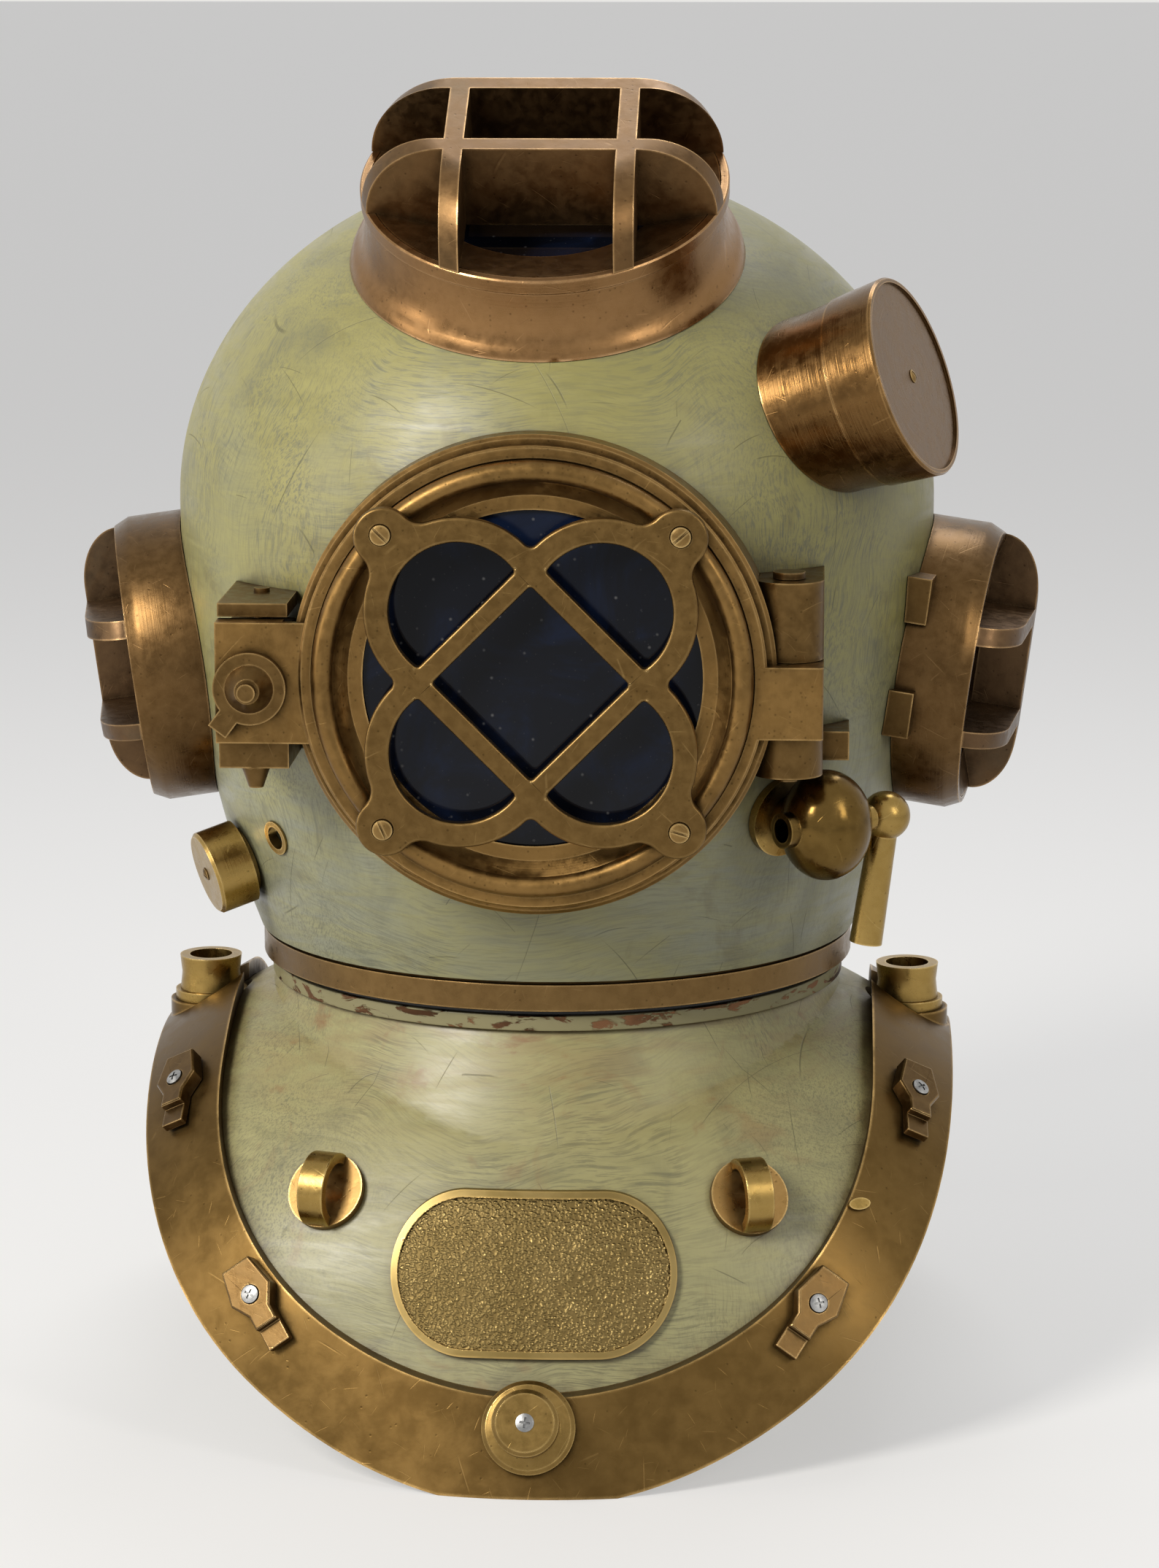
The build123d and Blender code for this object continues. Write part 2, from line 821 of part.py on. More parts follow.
def latch_lugs():
    """Fixed ears above and below the latch block, the lower one with its tip."""
    x_pair = (-latch_lug_left, -latch_lug_right)
    y_pair = (-latch_lug_face_y, -bonnet_radius / 2)
    lower_top = latch_arm_low_z - swing_gap
    upper_low = latch_arm_high_z + swing_gap
    lower = block(x_pair, y_pair, (lower_top - 2 * latch_lug_thickness, lower_top))
    upper = block(x_pair, y_pair, (upper_low, upper_low + latch_lug_thickness))
    tip_top = lower_top - 2 * latch_lug_thickness
    tip_y = latch_lug_face_y - latch_tip_radius
    tip = Cone(latch_tip_radius / 2, latch_tip_radius, latch_tip_height)
    lower += Pos(-latch_x, -tip_y, tip_top - latch_tip_height / 2) * tip
    clear = door_plane() * drum(frame_radius + seat_gap, -door_seat_y, 0)
    pin_hole = Pos(-latch_x, -latch_pin_y, 0) * drum(latch_pin_radius + bore_gap, 0, bonnet_mid_z)
    solids = []
    for ear in (lower, upper):
        solids += (ear - clear - pin_hole - bonnet_form(seat_gap)).solids()
    return Compound(children=solids)


def latch_block():
    """Threaded block behind the door's arm, held by the upright pin."""
    face = -(door_seat_y - latch_arm_back - play)
    half = latch_block_width / 2
    middle = (latch_arm_low_z + latch_arm_high_z) / 2
    z_pair = (middle - latch_block_height / 2, middle + latch_block_height / 2)
    body = block((-latch_x - half, -latch_x + half), (face, -latch_pin_y + 2 * latch_pin_radius), z_pair)
    body -= Pos(-latch_x, -latch_pin_y, 0) * drum(latch_pin_radius + bore_gap, 0, bonnet_mid_z)
    hole = Pos(-latch_x, latch_z - door_z, 0) * drum(wing_screw_radius + wing_hole_gap, -wing_screw_reach - play, 0)
    body -= door_plane() * hole
    body -= door_plane() * drum(frame_radius + swing_gap, -door_seat_y, 0)
    return body - bonnet_form(seat_gap)


def latch_pin():
    low = latch_arm_low_z - swing_gap - 2 * latch_lug_thickness
    high = latch_arm_high_z + swing_gap + latch_lug_thickness
    pin = Pos(-latch_x, -latch_pin_y, 0) * drum(latch_pin_radius, low, high + latch_pin_radius / 2)
    return pin - bonnet_form(seat_gap)


def wing_screw():
    low = latch_arm_face + play
    disc_top = low + wing_disc_height
    cone_top = disc_top + wing_cone_height
    screw = drum(wing_screw_radius, -wing_screw_reach, disc_top)
    screw += drum(wing_disc_radius, low, disc_top)
    cone = Cone(wing_cone_foot_radius, wing_cone_top_radius, wing_cone_height)
    screw += Pos(0, 0, (disc_top + cone_top) / 2) * cone
    screw += drum(wing_stud_radius, cone_top, cone_top + wing_stud_height)
    half = wing_tab_width / 2
    tab = block((wing_disc_radius - half, wing_tab_reach), (-half, half),
                (door_rim_height + play, disc_top))
    screw += Rot(0, 0, wing_tab_angle) * tab
    return door_plane() * (Pos(-latch_x, latch_z - door_z, 0) * screw)


def door_glass():
    high = slope_foot_height - door_lip_wall - door_gasket_height
    return door_plane() * drum(door_glass_radius, high - door_glass_thickness, high)


def door_gasket():
    high = slope_foot_height - door_lip_wall
    low = high - door_gasket_height
    outer = door_pocket_radius - seat_gap
    return door_plane() * (drum(outer, low, high) - drum(door_gasket_inner_radius, low, high))


def door_clamp_ring():
    glass_high = slope_foot_height - door_lip_wall - door_gasket_height
    glass_low = glass_high - door_glass_thickness
    wall_inner = door_glass_radius + seat_gap
    ring = turned([
        (clamp_inner_radius, glass_low - clamp_lip),
        (clamp_outer_radius, glass_low - clamp_lip),
        (clamp_outer_radius, glass_high - seat_gap),
        (wall_inner, glass_high - seat_gap),
        (wall_inner, glass_low),
        (clamp_inner_radius, glass_low),
    ])
    return door_plane() * ring


def grille_corners(radius):
    """The four diagonal places at a radius from the door's centre."""
    offset = radius / math.sqrt(2)
    return ((offset, offset), (-offset, offset), (-offset, -offset), (offset, -offset))


def grille_outline():
    outline = Rectangle(2 * grille_lobe_offset, 2 * grille_lobe_offset)
    for x, y in grille_corners(grille_lobe_offset * math.sqrt(2)):
        outline += Pos(x, y) * Circle(grille_lobe_radius)
    cusps = [corner for corner in outline.vertices()]
    outline = fillet(cusps, grille_cusp_fillet)
    for x, y in grille_corners(grille_ear_offset * math.sqrt(2)):
        outline += Pos(x, y) * Circle(grille_ear_radius)
    span = grille_ear_offset
    roots = [corner for corner in outline.vertices() if is_ear_root(corner, span)]
    return fillet(roots, grille_ear_fillet)


def is_ear_root(corner, span):
    """True where an ear's circle meets a lobe."""
    for x, y in grille_corners(span * math.sqrt(2)):
        reach = math.hypot(corner.X - x, corner.Y - y)
        if abs(reach - grille_ear_radius) < seat_gap / 2:
            return True
    return False


def grille_windows():
    """The central square and the four petals, as one flat figure."""
    side = grille_window_half * math.sqrt(2)
    square = Rot(0, 0, 45) * RectangleRounded(side, side, grille_corner_fillet)
    windows = square
    start = side / 2 + grille_bar
    for index in range(4):
        disc = Pos(grille_lobe_offset * math.sqrt(2), 0) * Circle(grille_petal_radius)
        keep = Pos(start + grille_lobe_radius, 0) * Rectangle(2 * grille_lobe_radius, 4 * grille_lobe_radius)
        petal = fillet((disc & keep).vertices(), grille_corner_fillet)
        windows += Rot(0, 0, 45 + 90 * index) * petal
    return windows


def door_grille():
    back = bead_centre_height + bead_radius + play / 3
    grille = extrude(grille_outline(), grille_thickness) - extrude(grille_windows(), grille_thickness)
    front = grille.faces().sort_by(Axis.Z)[-1]
    grille = chamfer(front.edges(), grille_chamfer)
    for x, y in grille_corners(bead_centre_radius):
        grille -= Pos(x, y, 0) * drum(grille_shank_radius + bore_gap, -overrun, overrun)
        sink = grille_thickness - grille_screw_head / 2
        grille -= Pos(x, y, 0) * drum(grille_screw_radius + bore_gap, sink, overrun)
    return door_plane() * (Pos(0, 0, back) * grille)


def grille_screws():
    back = bead_centre_height + bead_radius + play / 3
    seat = back + grille_thickness - grille_screw_head / 2
    solids = []
    for x, y in grille_corners(bead_centre_radius):
        screw = drum(grille_screw_radius, seat, seat + grille_screw_head)
        screw += drum(grille_shank_radius - bore_gap, door_rim_height, seat)
        solids += (door_plane() * (Pos(x, y, 0) * screw)).solids()
    return Compound(children=solids)


# Exhaust valve
def exhaust_body():
    seat_low = exhaust_seat_height - exhaust_seat_thickness
    body = turned([
        (exhaust_passage_radius, -exhaust_foot_depth),
        (exhaust_foot_radius, -exhaust_foot_depth),
        (exhaust_foot_radius, 0),
        (exhaust_body_radius, exhaust_body_height),
        (exhaust_bore_radius, exhaust_body_height),
        (exhaust_bore_radius, exhaust_seat_height),
        (exhaust_passage_radius, exhaust_seat_height),
    ])
    body = exhaust_plane() * body - bonnet_form(seat_gap)
    plate = drum(exhaust_passage_radius + bore_gap, seat_low, exhaust_seat_height)
    plate -= drum(exhaust_stem_radius + bore_gap, -overrun, overrun)
    for index in range(exhaust_port_count):
        spoke = Rot(0, 0, index * 360 / exhaust_port_count)
        plate -= spoke * Pos(exhaust_port_offset, 0, 0) * drum(exhaust_port_radius, -overrun, overrun)
    return body + exhaust_plane() * plate


def exhaust_cap():
    low = exhaust_body_height + play
    face = exhaust_top_height
    inner = exhaust_cap_radius - exhaust_cap_wall
    spigot_low = exhaust_body_height - exhaust_spigot_depth
    spigot_inner = exhaust_spigot_radius - exhaust_spigot_wall
    step = exhaust_cap_wall / 2
    cap = turned([
        (spigot_inner, spigot_low),
        (exhaust_spigot_radius, spigot_low),
        (exhaust_spigot_radius, low),
        (exhaust_cap_radius, low),
        (exhaust_face_radius, face - exhaust_cap_recess),
        (exhaust_face_radius - exhaust_rim_width / 3, face),
        (exhaust_face_radius - exhaust_rim_width, face),
        (exhaust_face_radius - exhaust_rim_width, face - exhaust_cap_recess),
        (0, face - exhaust_cap_recess),
        (0, face - exhaust_cap_recess - exhaust_cap_wall),
        (inner, face - exhaust_cap_recess - exhaust_cap_wall),
        (inner, low + step),
        (spigot_inner, low + step),
    ])
    return exhaust_plane() * cap


def exhaust_stem():
    low = exhaust_seat_height + play / 3
    stem = drum(exhaust_disc_radius, low, low + exhaust_disc_height)
    stem += drum(exhaust_stem_radius, -exhaust_stem_inner, exhaust_stem_top)
    stem += drum(chin_button_radius, -exhaust_stem_inner - chin_button_height, -exhaust_stem_inner)
    return exhaust_plane() * stem


# Spit tap
def tap_ball():
    """Centre of the tap's ball, set out from its seat on the shell."""
    seat = bonnet_plane(tap_angle, tap_z)
    return tuple(seat.from_local_coords((tap_ball_side, tap_ball_rise, tap_ball_stand)))


def tap_axis_plane():
    """Plane at the ball's centre: z points along the spindle."""
    angle = math.radians(tap_axis_turn)
    axis = (math.cos(angle), math.sin(angle), 0)
    return Plane(origin=tap_ball(), x_dir=(0, 0, 1), z_dir=axis)


def tap_ball_form():
    pole = math.degrees(math.asin(tap_ball_flat / tap_ball_radius))
    arc = ellipse_curve((0, 0), tap_ball_radius, tap_ball_half_height, pole - 90, 90 - pole)
    low = arc @ 0
    high = arc @ 1
    spine = Polyline((high.X, high.Y), (0, high.Y), (0, low.Y), (low.X, low.Y))
    ball = revolve(Plane.XZ * make_face([arc, spine]), Axis.Z)
    return Pos(*tap_ball()) * Rot(0, 0, tap_ball_seam_turn) * ball


def tap_flange():
    seat = bonnet_plane(tap_angle, tap_z)
    flange = seat * drum(tap_flange_radius, -tap_flange_height * 2, tap_flange_height)
    return flange - bonnet_form(seat_gap)


def tap_body():
    """Ball-shaped tap housing with its neck, outlet and spindle seat."""
    seat = bonnet_plane(tap_angle, tap_z)
    body = tap_ball_form() + seat * drum(tap_neck_radius, tap_flange_height, tap_ball_radius)
    outlet_place = Pos(*tap_ball()) * Rot(0, 0, 90 + tap_outlet_turn) * Rot(0, 90, 0)
    body += outlet_place * drum(tap_outlet_radius, 0, tap_outlet_reach)
    body -= outlet_place * drum(tap_outlet_bore, tap_outlet_reach - tap_outlet_depth, overrun)
    seat_low = tap_flat_distance - play - tap_outlet_bore / 2
    body -= tap_axis_plane() * drum(tap_knob_radius + play, seat_low, overrun)
    bore_low = tap_flat_distance - tap_spindle_depth - play
    body -= tap_axis_plane() * drum(tap_spindle_radius + bore_gap, bore_low, overrun)
    return body


def tap_lever():
    low = tap_flat_distance - tap_spindle_depth
    lever = tap_axis_plane() * drum(tap_spindle_radius, low, tap_knob_distance)
    knob_face = tap_flat_distance - tap_outlet_bore / 2
    knob = Pos(0, 0, tap_knob_distance) * Sphere(tap_knob_radius)
    knob &= drum(tap_knob_radius, knob_face, tap_knob_distance + tap_knob_radius)
    lever += tap_axis_plane() * knob
    rod = Cone(tap_rod_end_radius, tap_rod_top_radius, tap_rod_length)
    lean = Rot(0, tap_rod_lean, 0) * (Pos(0, 0, -tap_rod_length / 2) * rod)
    centre = tap_axis_plane().from_local_coords((0, 0, tap_knob_distance))
    return lever + Pos(*centre) * lean


# Small knob, bush and hose elbows
def knob_base():
    seat = bonnet_plane(knob_angle, knob_z)
    base = seat * drum(knob_base_radius, -knob_base_depth, knob_base_height) - bonnet_form(seat_gap)
    return base + seat * drum(knob_spindle_radius, knob_base_height / 2, knob_spindle_height)


def side_knob():
    low = knob_base_height + play
    high = low + knob_height
    knob = turned([
        (0, knob_spindle_height + play),
        (knob_spindle_radius + bore_gap, knob_spindle_height + play),
        (knob_spindle_radius + bore_gap, low),
        (knob_radius, low),
        (knob_radius, high - knob_edge),
        (knob_radius - knob_edge, high),
        (0, high),
    ])
    return bonnet_plane(knob_angle, knob_z) * knob


def hole_bush():
    seat = bonnet_plane(bush_angle, bush_z)
    lip = seat * drum(bush_lip_radius, -bush_tube_radius, bush_lip_height) - bonnet_form(seat_gap)
    tube = seat * drum(bush_tube_radius, -bonnet_wall, bush_lip_height)
    return lip + tube - seat * drum(bush_bore_radius, -overrun, overrun)


def elbow_pipe(radius, inner_end, lower_end):
    """Level run, bend and straight end of a hose elbow, in its own frame."""
    start = Plane(origin=(elbow_straight, 0, 0), x_dir=(0, 1, 0), z_dir=(1, 0, 0))
    run = start * drum(radius, -elbow_straight - inner_end, 0)
    turn_line = Axis((elbow_straight, 0, -elbow_bend), (0, 1, 0))
    bend = revolve(start * Circle(radius), turn_line, elbow_turn)
    return run + bend + elbow_mouth() * drum(radius, 0, lower_end)


def elbow_mouth():
    """Plane where the bend ends: z points the way the hose leaves."""
    turn = math.radians(elbow_turn)
    across = math.cos(turn)
    down = math.sin(turn)
    origin = (elbow_straight + elbow_bend * down, 0, elbow_bend * (across - 1))
    return Plane(origin=origin, x_dir=(0, 1, 0), z_dir=(across, 0, -down))


def elbow(turn, tube, bore, thread):
    """Hose elbow: flange on the shell, bend down and away, threaded end."""
    seat = bonnet_plane(turn, elbow_z)
    flange = seat * drum(elbow_flange_radius, -elbow_flange_radius / 2, elbow_flange_height)
    place = Pos(*seat.origin) * Rot(0, 0, turn - 90)
    collar = elbow_mouth() * drum(thread, elbow_drop - elbow_thread_length, elbow_drop)
    outside = place * (elbow_pipe(tube, elbow_straight, elbow_drop) + collar)
    inside = place * elbow_pipe(bore, 2 * elbow_straight, elbow_drop + overrun)
    return (flange + outside) - inside - bonnet_form(seat_gap)


# Breastplate
def yoke_form(grow):
    """Filled outer form of the breastplate, grown or shrunk by a distance."""
    lean = math.radians(yoke_lean)
    radius = yoke_radius + grow
    side_y = radius * math.cos(lean)
    side_z = yoke_centre_z + radius * math.sin(lean)
    foot_z = yoke_turn_z
    foot_y = side_y + (side_z - foot_z) * math.tan(lean)
    top = yoke_centre_z + radius
    crown = ThreePointArc((side_y, side_z), (0, top), (-side_y, side_z))
    sides = Polyline((-side_y, side_z), (-foot_y, foot_z), (foot_y, foot_z), (side_y, side_z))
    face = Plane.YZ * make_face([crown, sides])
    line = Axis((0, 0, yoke_turn_z), (0, 1, 0))
    return revolve(face, line)


def yoke_plane(x, z, grow, spin=0.0):
    """Plane on the front of the breastplate's surface, z pointing out."""
    lean = math.radians(yoke_lean)
    radius = yoke_radius + grow
    side_z = yoke_centre_z + radius * math.sin(lean)
    reach = math.hypot(x, z - yoke_turn_z)
    height = reach + yoke_turn_z
    if height > side_z:
        y = -math.sqrt(radius ** 2 - (height - yoke_centre_z) ** 2)
        out_y = y / radius
        out_w = (height - yoke_centre_z) / radius
    else:
        y = -(radius * math.cos(lean) + (side_z - height) * math.tan(lean))
        out_y = -math.cos(lean)
        out_w = math.sin(lean)
    outward = Vector(out_w * x / reach, out_y, out_w * (z - yoke_turn_z) / reach)
    side = Vector(0, 0, 1).cross(outward)
    side = side.normalized()
    rise = outward.cross(side)
    turn = math.radians(spin)
    x_dir = side * math.cos(turn) + rise * math.sin(turn)
    return Plane(origin=(x, y, z), x_dir=x_dir, z_dir=outward)


def outline_prism(half_width, half_height):
    """Front-view outline carried right through from front to back."""
    arc = ellipse_curve((0, rim_centre_z), half_width, half_height, 180, 360)
    high = rim_centre_z + rim_half_height
    frame = Polyline((half_width, rim_centre_z), (half_width, high), (-half_width, high),
                     (-half_width, rim_centre_z))
    face = Plane.XZ * make_face([arc, frame])
    depth = 2 * yoke_radius
    return Pos(0, -depth, 0) * extrude(face, 2 * depth, dir=(0, 1, 0))


def above_ground(solid):
    reach = 3 * yoke_radius
    return solid - block((-reach, reach), (-reach, reach), (-reach, 0))


def neck_hole():
    top = collar_bottom_z
    radius = neck_cone_top_radius - neck_cone_wall
    foot = neck_cone_foot_radius - neck_cone_wall
    low = 2 * neck_cone_foot_z - top
    wide = 2 * foot - radius
    return Pos(0, 0, (low + top) / 2) * Cone(wide, radius, top - low) + drum(radius, top, top + overrun)


def breastplate_shell():
    high = collar_bottom_z - seat_gap
    filled = yoke_form(0) - drum(2 * yoke_radius, high, high + 2 * overrun)
    cone_low = 2 * neck_cone_foot_z - collar_bottom_z
    cone_wide = 2 * neck_cone_foot_radius - neck_cone_top_radius
    cone = Cone(cone_wide, neck_cone_top_radius, high - cone_low)
    cone = Pos(0, 0, (cone_low + high) / 2) * cone
    sheet = (filled + cone) - yoke_form(-yoke_wall) - neck_hole()
    sheet &= outline_prism(rim_half_width - rim_thickness / 2, rim_half_height)
    for side in (1, -1):
        spot = Pos(side * shoulder_x, 0, 0)
        cup = spot * drum(pad_radius + seat_gap + pad_cup_wall, pad_floor_z - pad_cup_wall, collar_bottom_z)
        sheet += cup & yoke_form(0) - neck_hole()
        sheet -= spot * drum(pad_radius + seat_gap, pad_floor_z, collar_bottom_z + overrun)
    return above_ground(sheet)


def rim_strap(front):
    strap = yoke_form(rim_thickness + seat_gap) - yoke_form(seat_gap)
    strap &= outline_prism(rim_half_width, rim_half_height)
    strap -= outline_prism(rim_inner_half_width, rim_inner_half_height)
    reach = 3 * yoke_radius
    far = (rim_split, reach) if front else (-reach, rim_split)
    strap -= block((-reach, reach), far, (-reach, reach))
    for side in (1, -1):
        spot = Pos(side * shoulder_x, 0, 0)
        strap -= spot * drum(pad_radius, pad_floor_z + seat_gap, 2 * pad_floor_z)
        if front:
            pad = drum(pad_radius, neck_cone_foot_z, pad_top_z)
            strap += spot * pad - yoke_form(seat_gap)
            strap += spot * drum(pad_radius, pad_floor_z + seat_gap, pad_top_z)
        else:
            strap -= spot * drum(pad_radius + seat_gap, 0, 2 * pad_floor_z)
    return above_ground(strap)


def shoulder_washers():
    disc = drum(washer_radius, pad_top_z, pad_top_z + washer_height)
    return both_shoulders(disc)


def both_shoulders(solid):
    right = Pos(shoulder_x, 0, 0) * solid
    return Compound(children=[right, Pos(-shoulder_x, 0, 0) * solid])


def shoulder_nuts():
    low = pad_top_z + washer_height
    high = low + nut_height
    nut = turned([
        (0, low),
        (nut_radius, low),
        (nut_radius - nut_waist, (low + high) / 2),
        (nut_radius, high),
        (nut_bore_radius, high),
        (nut_bore_radius, high - nut_bore_depth),
        (0, high - nut_bore_depth),
    ])
    return both_shoulders(nut)


def button_plate():
    """Turn button in its own frame, tongue towards local -y."""
    shoulder = button_half_length * button_shoulder_share
    outline = make_face(Polyline(
        (button_top_half_width, button_half_length),
        (button_half_width, 0),
        (button_foot_half_width, -shoulder),
        (button_foot_half_width, -button_half_length),
        (-button_foot_half_width, -button_half_length),
        (-button_foot_half_width, -shoulder),
        (-button_half_width, 0),
        (-button_top_half_width, button_half_length),
        close=True,
    ))
    plate = Pos(0, 0, play) * extrude(outline, button_thickness)
    plate = chamfer(plate.faces().sort_by(Axis.Z)[-1].edges(), button_chamfer)
    low = -button_half_length - button_tongue_length
    half = button_foot_half_width
    plate += block((-half, half), (low, -button_half_length + half), (play, play + button_tongue_height))
    top = play + button_thickness
    plate -= drum(button_shank_radius + bore_gap, -overrun, overrun)
    return plate - drum(button_screw_radius + bore_gap, top - button_screw_head / 2, overrun)


def button_screw():
    top = play + button_thickness
    head = drum(button_screw_radius, top - button_screw_head / 2, top + button_screw_head / 2)
    return head + drum(button_shank_radius, -button_shank_depth, top)


def button_frame(place):
    x, z, spin = place
    return yoke_plane(x, z, rim_thickness + seat_gap, spin)


def button_at(index, side, back):
    """One turn button: upper or lower, right or left, front or back."""
    plate = button_frame(button_places[index]) * button_plate()
    if side < 0:
        plate = mirrored(plate)
    return turned_back(plate) if back else plate


def button_screws():
    solids = []
    for place in button_places:
        right = button_frame(place) * button_screw()
        left = mirrored(right)
        solids += [right, left, turned_back(right), turned_back(left)]
    return Compound(children=[piece for item in solids for piece in item.solids()])


def button_holes():
    """Room for the button screws in the straps and the sheet."""
    holes = []
    for place in button_places:
        hole = button_frame(place) * drum(button_shank_radius + bore_gap, -2 * button_shank_depth, overrun)
        holes += [hole, mirrored(hole), turned_back(hole), turned_back(mirrored(hole))]
    knob_hole = rim_knob_frame() * drum(rim_knob_pin_radius + bore_gap, -2 * rim_knob_pin_depth, overrun)
    return holes + [knob_hole, turned_back(knob_hole)]


def rim_knob_frame():
    return yoke_plane(0, rim_knob_z, rim_thickness + seat_gap)


def rim_knob(back):
    knob = turned([
        (0, -rim_knob_pin_depth),
        (rim_knob_pin_radius, -rim_knob_pin_depth),
        (rim_knob_pin_radius, play),
        (rim_knob_flange_radius, play),
        (rim_knob_flange_radius, rim_knob_flange_height - rim_knob_edge),
        (rim_knob_flange_radius - rim_knob_edge, rim_knob_flange_height),
        (rim_knob_stem_radius, rim_knob_flange_height + rim_knob_edge),
        (rim_knob_stem_radius, rim_knob_disc_low - rim_knob_edge),
        (rim_knob_disc_radius, rim_knob_disc_low + rim_knob_edge),
        (rim_knob_disc_radius, rim_knob_top - rim_knob_edge),
        (rim_knob_disc_radius - rim_knob_edge, rim_knob_top),
        (0, rim_knob_top),
    ])
    knob = rim_knob_frame() * knob
    return turned_back(knob) if back else knob


def eyelet_bases():
    base = drum(eyelet_base_radius, -2 * eyelet_base_height, eyelet_base_height)
    right = yoke_plane(eyelet_x, eyelet_z, 0) * base - yoke_form(seat_gap)
    return Compound(children=right.solids() + mirrored(right).solids())


def eyelet_loops():
    outer = Circle(eyelet_loop_radius) - Circle(eyelet_loop_inner)
    upper = Pos(eyelet_loop_radius, 0) * Rectangle(2 * eyelet_loop_radius, 2 * eyelet_loop_radius)
    arch = extrude(outer & upper, eyelet_loop_width / 2, both=True)
    arch = Pos(0, 0, eyelet_base_height) * Rot(0, -90, 0) * arch
    right = yoke_plane(eyelet_x, eyelet_z, 0) * arch
    return Compound(children=right.solids() + mirrored(right).solids())


def stadium_prism(shrink):
    height = plate_height - 2 * shrink
    length = plate_length - 2 * shrink
    face = SlotOverall(length, height)
    place = Plane(origin=(0, -bonnet_radius / 2, plate_z), x_dir=(1, 0, 0), z_dir=(0, -1, 0))
    return extrude(place * face, 2 * yoke_radius)


def name_plate():
    base = yoke_form(seat_gap + plate_thickness) - yoke_form(seat_gap)
    base &= stadium_prism(0)
    edge = yoke_form(seat_gap + plate_thickness + plate_rim_height) - yoke_form(seat_gap)
    edge = (edge & stadium_prism(0)) - stadium_prism(plate_rim_width)
    return base + edge


def rim_rivet():
    seat = yoke_plane(rivet_x, rivet_z, rim_thickness + seat_gap)
    face = Ellipse(rivet_half_length, rivet_half_height)
    head = extrude(face, rivet_height + rim_thickness / 2)
    head = seat * (Pos(0, 0, -rim_thickness / 2) * head)
    return head - yoke_form(rim_thickness + seat_gap)


def build():
    os.makedirs("parts", exist_ok=True)
    nodes = {
        "bonnet_shell": bonnet_shell(),
        "bonnet_neck_ring": bonnet_neck_ring(),
        "door_frame": door_frame(),
        "door_seal": door_seal(),
        "hinge_lugs": hinge_lugs(),
        "hinge_pin": hinge_pin(),
        "latch_lugs": latch_lugs(),
        "latch_block": latch_block(),
        "latch_pin": latch_pin(),
        "top_window_collar": top_collar(),
        "top_window_guard": top_guard(),
        "top_window_glass": top_plane() * window_glass(top_view_radius, top_height, top_clamp_height),
        "right_window_collar": side_collar(),
        "right_window_guard": side_guard(),
        "right_window_glass": side_glass(),
        "left_window_collar": mirrored(side_collar()),
        "left_window_guard": mirrored(side_guard()),
        "left_window_glass": mirrored(side_glass()),
        "right_window_blocks": right_blocks(),
        "exhaust_body": exhaust_body(),
        "exhaust_cap": exhaust_cap(),
        "exhaust_stem": exhaust_stem(),
        "tap_flange": tap_flange(),
        "tap_body": tap_body(),
        "tap_lever": tap_lever(),
        "side_knob_base": knob_base(),
        "side_knob": side_knob(),
        "hole_bush": hole_bush(),
        "air_elbow": elbow(air_angle, air_tube_radius, air_bore_radius, air_thread_radius),
        "phone_elbow": elbow(phone_angle, phone_tube_radius, phone_bore_radius, phone_thread_radius),
        "door_ring": door_ring(),
        "door_glass": door_glass(),
        "door_gasket": door_gasket(),
        "door_clamp_ring": door_clamp_ring(),
        "door_grille": door_grille(),
        "grille_screws": grille_screws(),
        "wing_screw": wing_screw(),
        "breastplate_shell": breastplate_shell(),
        "breastplate_neck_ring": breastplate_neck_ring(),
        "neck_gasket": neck_gasket(),
        "front_rim": rim_strap(True),
        "rear_rim": rim_strap(False),
        "shoulder_washers": shoulder_washers(),
        "shoulder_nuts": shoulder_nuts(),
        "button_screws": button_screws(),
        "front_button_upper_right": button_at(0, 1, False),
        "front_button_upper_left": button_at(0, -1, False),
        "front_button_lower_right": button_at(1, 1, False),
        "front_button_lower_left": button_at(1, -1, False),
        "rear_button_upper_right": button_at(0, -1, True),
        "rear_button_upper_left": button_at(0, 1, True),
        "rear_button_lower_right": button_at(1, -1, True),
        "rear_button_lower_left": button_at(1, 1, True),
        "front_knob": rim_knob(False),
        "rear_knob": rim_knob(True),
        "eyelet_bases": eyelet_bases(),
        "eyelet_loops": eyelet_loops(),
        "name_plate": name_plate(),
        "rim_rivet": rim_rivet(),
    }
    for hole in button_holes():
        for name in ("front_rim", "rear_rim", "breastplate_shell"):
            nodes[name] = nodes[name] - hole
    return nodes


if __name__ == "__main__":
    for name, solid in build().items():
        export_step(solid, f"parts/{name}.step")
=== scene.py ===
import json
import math

import bpy
from mathutils import Matrix, Vector


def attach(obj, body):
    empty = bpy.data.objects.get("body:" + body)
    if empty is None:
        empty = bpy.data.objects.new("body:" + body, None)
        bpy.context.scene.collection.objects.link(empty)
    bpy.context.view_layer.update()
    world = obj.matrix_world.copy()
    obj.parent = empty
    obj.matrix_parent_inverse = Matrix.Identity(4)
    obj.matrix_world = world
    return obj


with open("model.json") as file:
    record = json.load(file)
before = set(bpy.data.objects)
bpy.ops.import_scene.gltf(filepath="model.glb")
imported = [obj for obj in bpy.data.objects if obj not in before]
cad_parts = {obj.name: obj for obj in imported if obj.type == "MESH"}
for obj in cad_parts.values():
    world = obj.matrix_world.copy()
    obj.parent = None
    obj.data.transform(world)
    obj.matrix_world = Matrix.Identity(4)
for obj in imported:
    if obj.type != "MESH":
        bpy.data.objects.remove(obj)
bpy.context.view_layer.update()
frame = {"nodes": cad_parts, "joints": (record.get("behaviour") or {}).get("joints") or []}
nodes = frame["nodes"]

MM = 0.001

